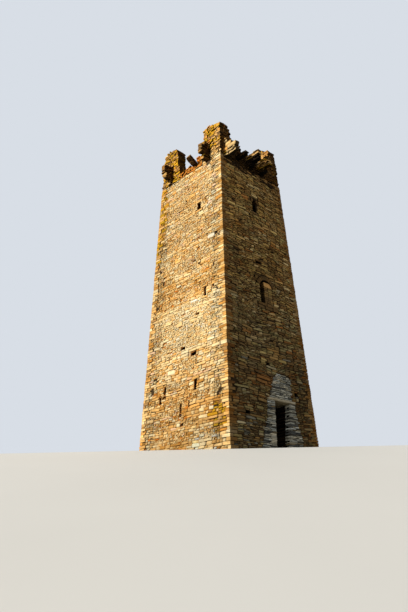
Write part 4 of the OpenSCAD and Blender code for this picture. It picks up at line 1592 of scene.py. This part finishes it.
def slate_stones(rng):
    """The slates round the ground doorway, by their nodes, with long ones down its two sides."""
    found = {name: [] for name in SLATE}
    low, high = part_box("door_lintel")
    stops = (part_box("door_threshold")[1].z, low.z, high.z)
    for up in pairwise(courses(rng, 0.0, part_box("door_slate_crown")[1].z, 0.038, 0.078, stops)):
        middle = sum(up) / 2
        for a, b, owner in spans("front", middle, INSIDE, SLATE):
            edges = pieces_of(rng, a, b, 0.16, 0.44)
            for x0, x1 in pairwise(edges):
                left_side = owner == "door_jamb_left" and x1 == edges[-1]
                right_side = owner == "door_jamb_right" and x0 == edges[0]
                beside = left_side or right_side
                tint = tint_of(SLATES_ABOVE if owner == "door_slate_crown" else SLATES, rng, 0.16)
                along = (x0 - SLIP * right_side, x1 + SLIP * left_side)
                behind = (-rng.uniform(-0.006, 0.022), DOOR_REVEAL if beside else 0.2)
                kind = any_quoin(rng) if beside else rng.randrange(BLOCK_KINDS)
                found[owner].append(stone_in("front", along, up, behind, tint, rng, kind, 0.005))
        for a, b, owner in spans("front", middle, 0.65, SLATE[:2]):
            along = (b - 0.28, b + SLIP) if owner == "door_jamb_left" else (a - SLIP, a + 0.28)
            # Painted shade: the inner stones of the jambs, deep in the doorway, take the near-black shade
            # colour
            tint = colour_of("soot", rng, 0.16)
            behind = (DOOR_REVEAL + 0.01, DOOR_BACK)
            found[owner].append(stone_in("front", along, up, behind, tint, rng))
    return found


class KEEP_OT_doorway(Step, bpy.types.Operator):
    """Lays the slates round the ground doorway, its lintel slab and its threshold"""

    bl_idname = "keep.doorway"
    bl_label = "Ground doorway"
    number = 2

    def lay(self, rng):
        found = slate_stones(rng)
        for owner, stone in inner_stones("front", 0, LEDGES[0], WALL_THICKNESS[0], rng, SLATE):
            found[owner].append(stone)
        for name in SLATE:
            dress(name, "masonry", ("slate_stone", "brown_bed"), found[name], wall_bed(name),
                  unevenness=0.008)
        self.lintel(rng)

    def lintel(self, rng):
        """Two worn slabs, one behind the other."""
        low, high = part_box("door_lintel")
        turn = Matrix.Rotation(-math.atan(BATTER), 4, "X")
        shapes = []
        for near, far, colour in ((-0.03, 0.42, "tan"), (0.43, DOOR_BACK, "umber")):
            at = face_point("front", (low.x + high.x) / 2, -(near + far) / 2, (low.z + high.z) / 2)
            size = (high.x - low.x + 0.02, far - near, high.z - low.z - 0.012)
            shapes.append(rough_block(rng, size, Matrix.Translation(at) @ turn, cell=0.07, wear=0.018,
                                      tint=colour_of(colour, rng, 0.03)))
        dress("door_lintel", "slabs", ("lintel_stone", "brown_bed"), unevenness=0.008, shapes=shapes)


class KEEP_OT_upper_doorway(Step, bpy.types.Operator):
    """Lays the sill, the arch stones and the later blocking of the upper doorway"""

    bl_idname = "keep.upper_doorway"
    bl_label = "Upper doorway"
    number = 3

    def lay(self, rng):
        found = {"upper_door_sill": self.sill(rng), "upper_door_head": self.head(rng),
                 "upper_door_blocking": self.blocking(rng)}
        for name, stones in found.items():
            bed = shrunk_bed(name, 0.03) if name == "upper_door_blocking" else wall_bed(name)
            stones += [stone for _, stone in inner_stones("front", *LEDGES, WALL_THICKNESS[1], rng, [name])]
            dress(name, "masonry", ("brown_stone", "brown_bed"), stones, bed)

    def sill(self, rng):
        low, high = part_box("upper_door_sill")
        stones = []
        for up in ((low.z, low.z + 0.14), (low.z + 0.14, high.z + SLIP)):
            for along in pairwise(pieces_of(rng, low.x, high.x, 0.3, 0.6)):
                tint = colour_of("umber", rng, 0.12)
                for behind in ((-rng.uniform(0.0, 0.03), 0.36), (0.37, 0.68)):
                    stones.append(stone_in("front", along, up, behind, tint, rng))
        return stones

    def head(self, rng):
        """Arch stones on edge round the opening, and small stones over their two ends."""
        low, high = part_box("upper_door_head")
        half = (high.x - low.x) / 2
        gap = half - UPPER_BEARING
        x = (low.x + high.x) / 2
        radius = (gap * gap + UPPER_RISE * UPPER_RISE) / (2 * UPPER_RISE)
        centre = low.z + UPPER_RISE - radius
        ring = (radius - SLIP, high.z - centre)
        stones = arch_stones("front", x, centre, ring, math.asin(gap / radius) + 0.1, 11,
                             ((-0.014, 0.35), (0.36, UPPER_BACK)), rng)
        return stones + haunch_stones("front", x, centre, ring[1] + 0.01, half, low.z, high.z, rng)

    def blocking(self, rng):
        """Courses of small stones under one pale block, in two rows, one behind the other."""
        name = "upper_door_blocking"
        low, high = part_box(name)
        top_block = 0.22
        stones = []
        for up in pairwise(courses(rng, low.z, high.z - top_block, 0.06, 0.12) + [high.z]):
            last = up[1] == high.z
            for a, b, _ in spans("front", up[1] - (0.05 if last else 0.01), 0.15, [name]):
                edges = [a - SLIP, b + 0.13] if last else pieces_of(rng, a - SLIP, b, 0.12, 0.3)
                for along in pairwise(edges):
                    tint = colour_of("apricot" if last else pick(BLOCKING, rng), rng, 0.08)
                    proud = BLOCKING_RECESS - rng.uniform(0.0, 0.014)
                    for behind in ((proud, 0.21), (0.215, BLOCKING_RECESS + 0.345)):
                        stones.append(stone_in("front", along, up, behind, tint, rng))
        return stones


# Depth of the outer row of stones of the crown, and height of the piers' foot: paler on the near pier's
# side wall, and darker on the shaded walls, the right corner pier's apart, as painted shade under the
# corbels
OUTER_ROW = 0.26
FOOT_HEIGHT = 0.62


def crown_stones(name, faces, rng):
    """The stones of a broken pier or parapet, laid in an outer and an inner row from both its faces."""
    stones = []
    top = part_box(name)[1].z
    z0, course = WALL_HEAD, 0
    while z0 < top - 0.03:
        z1 = min(z0 + rng.uniform(0.06, 0.125), top + 0.03)
        z = min((z0 + z1) / 2, top - 0.01)
        half = half_width(z)
        for number, face in enumerate(faces):
            holds_corner = len(faces) == 1 or course % 2 == number
            for near, far, clear in (
                    (0.0, OUTER_ROW, 0.0 if holds_corner else OUTER_ROW),
                    (OUTER_ROW, PARAPET_WALL, OUTER_ROW if holds_corner else PARAPET_WALL)):
                reach = (-half, half)
                if len(faces) == 2:
                    reach = (-half, half - clear) if number == 0 else (-half + clear, half)
                for a, b, _ in spans(face, z, (near + far) / 2, [name], reach):
                    for along in pairwise(pieces_of(rng, a, b, 0.09, 0.24)):
                        stones.append(crown_stone(name, face, along, (z0, z1), (near, far), rng))
        z0, course = z1, course + 1
    return stones


def crown_stone(name, face, along, up, behind, rng):
    """A skewed stone of the crown, out of line with its neighbours."""
    near, far = behind
    if near == 0:
        near = -rng.uniform(-0.03, 0.035)
    else:
        far += rng.uniform(-0.02, 0.02)
    stump = name.endswith("stump")
    low = up[1] < WALL_HEAD + FOOT_HEIGHT and name != "right_corner_pier"
    if face in OCHRE_FACES:
        mix = STUMP_LIT if stump else PIER_FOOT if low and name == "near_corner_pier" else CROWN_LIT
    else:
        # On the shaded walls the stumps and the piers' feet get darker stones, as painted shade under the
        # corbels; the other stones there get their painted shade from the stone shader
        mix = STUMP_SHADED if stump or low else CROWN_SHADED
    tint = tint_of(mix, rng, 0.1 if mix is PIER_FOOT else 0.2)
    return stone_in(face, along, up, (near, far), tint, rng, gap=0.008, loose=4.5)


class KEEP_OT_crown(Step, bpy.types.Operator):
    """Lays the broken piers of the four corners and the stumps of parapet between them"""

    bl_idname = "keep.crown"
    bl_label = "Crown"
    number = 4

    def lay(self, rng):
        for name, faces in CROWN.items():
            dress(name, "masonry", ("crown_stone", "brown_bed"), crown_stones(name, faces, rng),
                  shrunk_bed(name, 0.06), unevenness=0.026)


def connected_boxes(node_name):
    """Boxes (low, high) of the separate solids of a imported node."""
    bm = merged(node_name)
    boxes, seen = [], set()
    for start in bm.verts:
        group, waiting = [], [start]
        while waiting:
            v = waiting.pop()
            if v not in seen:
                seen.add(v)
                group.append(v.co.copy())
                waiting += [edge.other_vert(v) for edge in v.link_edges]
        if group:
            boxes.append([Vector([end(c[i] for c in group) for i in range(3)]) for end in (min, max)])
    bm.free()
    return boxes


# Slope, in degrees, of the side walls' lone corbel bar, which has tilted up
CORBEL_BAR_RISE = 27
# Height of a course of a corbel, and how far its tail lies in the wall
CORBEL_COURSE = 0.23
CORBEL_TAIL = 0.35
# Corbels of the shaded walls: those left of the first place are pale, as painted sunlight, and those right
# of the other are golden, with some lichen, as painted sunlight from their second course up, the others
# only on their top course; their other courses are painted shadow
PALE_CORBEL, LIT_CORBEL = -1.3, 0.3


def corbel_slabs(face, node_name, rng):
    """Worn slabs for each course of each corbel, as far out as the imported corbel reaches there."""
    lit = face in OCHRE_FACES
    shapes = []
    for low, high in connected_boxes(node_name):
        a, b = (face_turn(face, 4, -1) @ end for end in (low, high))
        x0, x1 = sorted((a.x, b.x))
        tail = max(a.y, b.y)
        count = max(1, round((high.z - low.z) / CORBEL_COURSE))
        rise = math.radians(CORBEL_BAR_RISE) if count == 1 and lit else 0.0
        pale = not lit and x0 < PALE_CORBEL
        for i, (z0, z1) in enumerate(parts_of(low.z, high.z, count)):
            tip = outer_reach(face, node_name, (x0 + x1) / 2, (z0 + z1) / 2, tail)
            mix = corbel_mix(face, x0, i, count)
            number = 1 if rise else rng.choice((1, 2) if pale else (2, 2, 3))
            for up in pairwise(lines_between(rng, z0, z1, number, 0.3)):
                out = tip - rng.uniform(-0.03, 0.02)
                number = 1 if rise else rng.choice((1, 2) if pale else (2, 3))
                for behind in pairwise(lines_between(rng, out, tail, number, 0.2)):
                    shapes.append(corbel_slab(face, (x0, x1), behind, up, rise, tail, mix, rng))
    return shapes


def corbel_slab(face, along, behind, up, rise, tail, mix, rng):
    """One slab of a corbel, askew, and tilted up by the rise about the start of its tail."""
    (x0, x1), (y0, y1), (z0, z1) = along, behind, up
    size = ((x1 - x0) * rng.uniform(0.78, 1.1), y1 - y0 + 0.004, (z1 - z0) * (0.8 if rise else 1) - 0.006)
    middle = Vector(((x0 + x1) / 2 + rng.uniform(-0.025, 0.025), (y0 + y1) / 2, (z0 + z1) / 2))
    middle.z += math.sin(rise) * (tail - CORBEL_TAIL - middle.y)
    lean = [math.radians(rng.gauss(0, spread)) for spread in (0.9, 1.5, 3.0)]
    lean[0] -= rise
    *colour, chance = tint_of(mix, rng, 0.1)
    # Golden corbels of the shaded walls catch the sun: an alpha over three keeps the painted shade off
    # their sides
    sun_catching = mix is CORBELS_GOLD and face not in OCHRE_FACES
    place = face_turn(face, 4) @ Matrix.Translation(middle) @ Euler(lean).to_matrix().to_4x4()
    return rough_block(rng, size, place, cell=0.065, wear=0.03, tint=(*colour, chance + 3 * sun_catching))


def corbel_mix(face, x, course, count):
    """Stones of a course of a corbel: pale or golden, with some lichen, as painted sunlight where the sun
    falls, and painted shadow on the courses of the shaded walls that lie in shadow. On the side walls the
    lone bar is dark brown and the lowest course golden, lighter than those above it, as painted light.
    """
    if face in OCHRE_FACES:
        return CORBEL_BAR if count == 1 else CORBELS_GOLD if course == 0 else CORBELS_SIDE
    if x < PALE_CORBEL:
        return CORBELS_PALE
    lit_from = 1 if x > LIT_CORBEL else count - 1
    return CORBELS_GOLD if count > 1 and course >= lit_from else PAINTED_SHADOW


def outer_reach(face, node_name, x, z, tail):
    """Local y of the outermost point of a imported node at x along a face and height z."""
    y, step = tail - 0.02, 0.01
    while solids.at(turned(face, x, y - step, z)) == node_name:
        y -= step
    return y


class KEEP_OT_corbels(Step, bpy.types.Operator):
    """Stacks the broken corbel slabs of the four sides"""

    bl_idname = "keep.corbels"
    bl_label = "Corbels"
    number = 5

    def lay(self, rng):
        for face in TURNS:
            name = face + "_corbels"
            dress(name, "slabs", ("crown_stone", "brown_bed"), unevenness=0.012,
                  shapes=corbel_slabs(face, name, rng))


class KEEP_OT_floors(Step, bpy.types.Operator):
    """Makes the hewn joists and the separate boards of the two floors"""

    bl_idname = "keep.floors"
    bl_label = "Floors"
    number = 6

    def lay(self, rng):
        boards = 14
        for floor in ("second_floor", "third_floor"):
            shapes = [self.beam(rng, low, high) for low, high in connected_boxes(floor + "_joists")]
            dress(floor + "_joists", "timber", ["weathered_beams"] * 2, unevenness=0.002, shapes=shapes)
            low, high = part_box(floor + "_boards")
            lines = lines_between(rng, low.x, high.x, boards, 0.2)
            shapes = [self.board(rng, low, high, a, b) for a, b in pairwise(lines)]
            dress(floor + "_boards", "timber", ["weathered_boards"] * 2, unevenness=0.002, shapes=shapes)

    def beam(self, rng, low, high):
        lean = Matrix.Rotation(math.radians(rng.gauss(0, 0.8)), 4, "X")
        return rough_block(rng, high - low, Matrix.Translation((low + high) / 2) @ lean, cell=0.09,
                           wear=0.012, tint=colour_of("timber", rng, 0.12))

    def board(self, rng, low, high, a, b):
        gap, short = rng.uniform(0.004, 0.012), rng.uniform(0, 0.04)
        size = (b - a - gap, high.y - low.y - short, high.z - low.z - 0.004)
        middle = ((a + b) / 2, (low.y + high.y) / 2 + rng.uniform(-0.5, 0.5) * short, (low.z + high.z) / 2)
        return rough_block(rng, size, Matrix.Translation(middle), cell=0.09, wear=0.005,
                           tint=colour_of("timber", rng, 0.16))


class KEEP_OT_stage(bpy.types.Operator):
    """Sets up the pale floor, the soft lights, the backdrop and the camera"""

    bl_idname = "keep.stage"
    bl_label = "Stage"

    def execute(self, context):
        s = context.scene.keep_stage
        self.floor(s)
        self.lamps(s)
        self.backdrop(context, s)
        self.camera(context, s)
        return {"FINISHED"}

    def floor(self, s):
        """A floor that is level round the tower and falls away towards the camera."""
        near_corner = math.hypot(BASE_HALF, BASE_HALF)
        reach, steps = 70.0, 120
        spacing = [math.copysign(abs(t) ** 1.8, t) * reach for t in np.linspace(-1, 1, steps)]
        corners = [((-down + across) / math.sqrt(2), (-down - across) / math.sqrt(2),
                    -math.tan(s.fall) * max(0.0, down - near_corner - s.brink))
                   for down in spacing for across in spacing]
        faces = [(a, a + steps, a + steps + 1, a + 1)
                 for j in range(steps - 1) for a in range(j * steps, j * steps + steps - 1)]
        mesh = mesh_of("floor", corners, faces)
        needed(mesh.polygons[0].normal.z > 0, "the floor faces down")
        paint, tree, shader = principled("floor_paint")
        tone = noise_of(coordinates(tree), 0.4, 3.0, 0.5).ranged(0.3, 0.7, 0.985, 1.0)
        pale = blended("MULTIPLY", 1.0, (*s.floor_tone, 1), tone)
        colour = blended("MIX", directly_seen(tree), (*s.floor_bounce, 1), pale)
        wire(shader, {"Base Color": colour, "Roughness": 0.9})
        mesh.materials.append(paint)
        linked("floor", mesh)

    def lamps(self, s):
        """A broad key light on the left wall and a weak one on the far walls."""
        lamps = (("key", s.key_strength, (-0.86, 0.21, 0.48), 5, (1.0, 0.965, 0.90)),
                 ("back", s.back_strength, (0.62, 0.70, 0.36), 60, (1.0, 1.0, 1.0)))
        for name, strength, towards, softness, colour in lamps:
            light = bpy.data.lights.new(name, "SUN")
            light.energy = strength
            light.angle = math.radians(softness)
            light.color = colour
            lamp = linked(name, light)
            lamp.rotation_mode = "QUATERNION"
            lamp.rotation_quaternion = Vector(towards).to_track_quat("Z", "Y")

    def backdrop(self, context, s):
        """A plain even light from all round, which the camera sees as the backdrop colour."""
        world = bpy.data.worlds.new("studio")
        context.scene.world = world
        world.use_nodes = True
        tree = world.node_tree
        tree.nodes.clear()
        light = outlet(tree, 0, "ShaderNodeBackground", {
            "Color": (0.96, 0.98, 1.0, 1), "Strength": s.fill_strength})
        seen = outlet(tree, 0, "ShaderNodeBackground", {"Color": (*s.backdrop_tone, 1)})
        mixed = outlet(tree, 0, "ShaderNodeMixShader", {0: directly_seen(tree), 1: light, 2: seen})
        node(tree, "ShaderNodeOutputWorld", {"Surface": mixed})

    def camera(self, context, s):
        """The camera of the photograph, solved from the tower's edges and courses."""
        photo_height, sensor = 612, 36.0
        data = bpy.data.cameras.new("camera")
        data.sensor_width = sensor
        data.lens = s.focal_px / photo_height * sensor
        data.clip_end = 500
        made = linked("camera", data)
        turn = (Matrix.Rotation(s.camera_yaw - math.pi / 2, 4, "Z")
                @ Matrix.Rotation(math.pi / 2 + s.camera_pitch, 4, "X")
                @ Matrix.Rotation(s.camera_roll, 4, "Z"))
        made.matrix_world = Matrix.Translation(s.camera_at) @ turn
        context.scene.camera = made
        context.scene.view_settings.view_transform = "Standard"


STEPS = (KEEP_OT_storey_walls, KEEP_OT_doorway, KEEP_OT_upper_doorway, KEEP_OT_crown, KEEP_OT_corbels,
         KEEP_OT_floors, KEEP_OT_stage)


class KEEP_PT_panel(bpy.types.Panel):
    """Lists the steps that dress the tower keep"""

    bl_idname = "KEEP_PT_panel"
    bl_label = "Tower keep"
    bl_space_type = "VIEW_3D"
    bl_region_type = "UI"
    bl_category = "Keep"

    def draw(self, context):
        for step in STEPS:
            self.layout.operator(step.bl_idname)


SETTINGS = {"keep_masonry": MasonrySettings, "keep_colours": StoneColours, "keep_stage": StageSettings}
CLASSES = (*SETTINGS.values(), *STEPS, KEEP_PT_panel)


def register():
    for cls in CLASSES:
        bpy.utils.register_class(cls)
    for name, group in SETTINGS.items():
        setattr(bpy.types.Scene, name, bpy.props.PointerProperty(type=group))


def unregister():
    for name in SETTINGS:
        delattr(bpy.types.Scene, name)
    for cls in reversed(CLASSES):
        bpy.utils.unregister_class(cls)


def main():
    register()
    for step in STEPS:
        group, name = step.bl_idname.split(".")
        getattr(getattr(bpy.ops, group), name)()


if __name__ == "__main__":
    main()
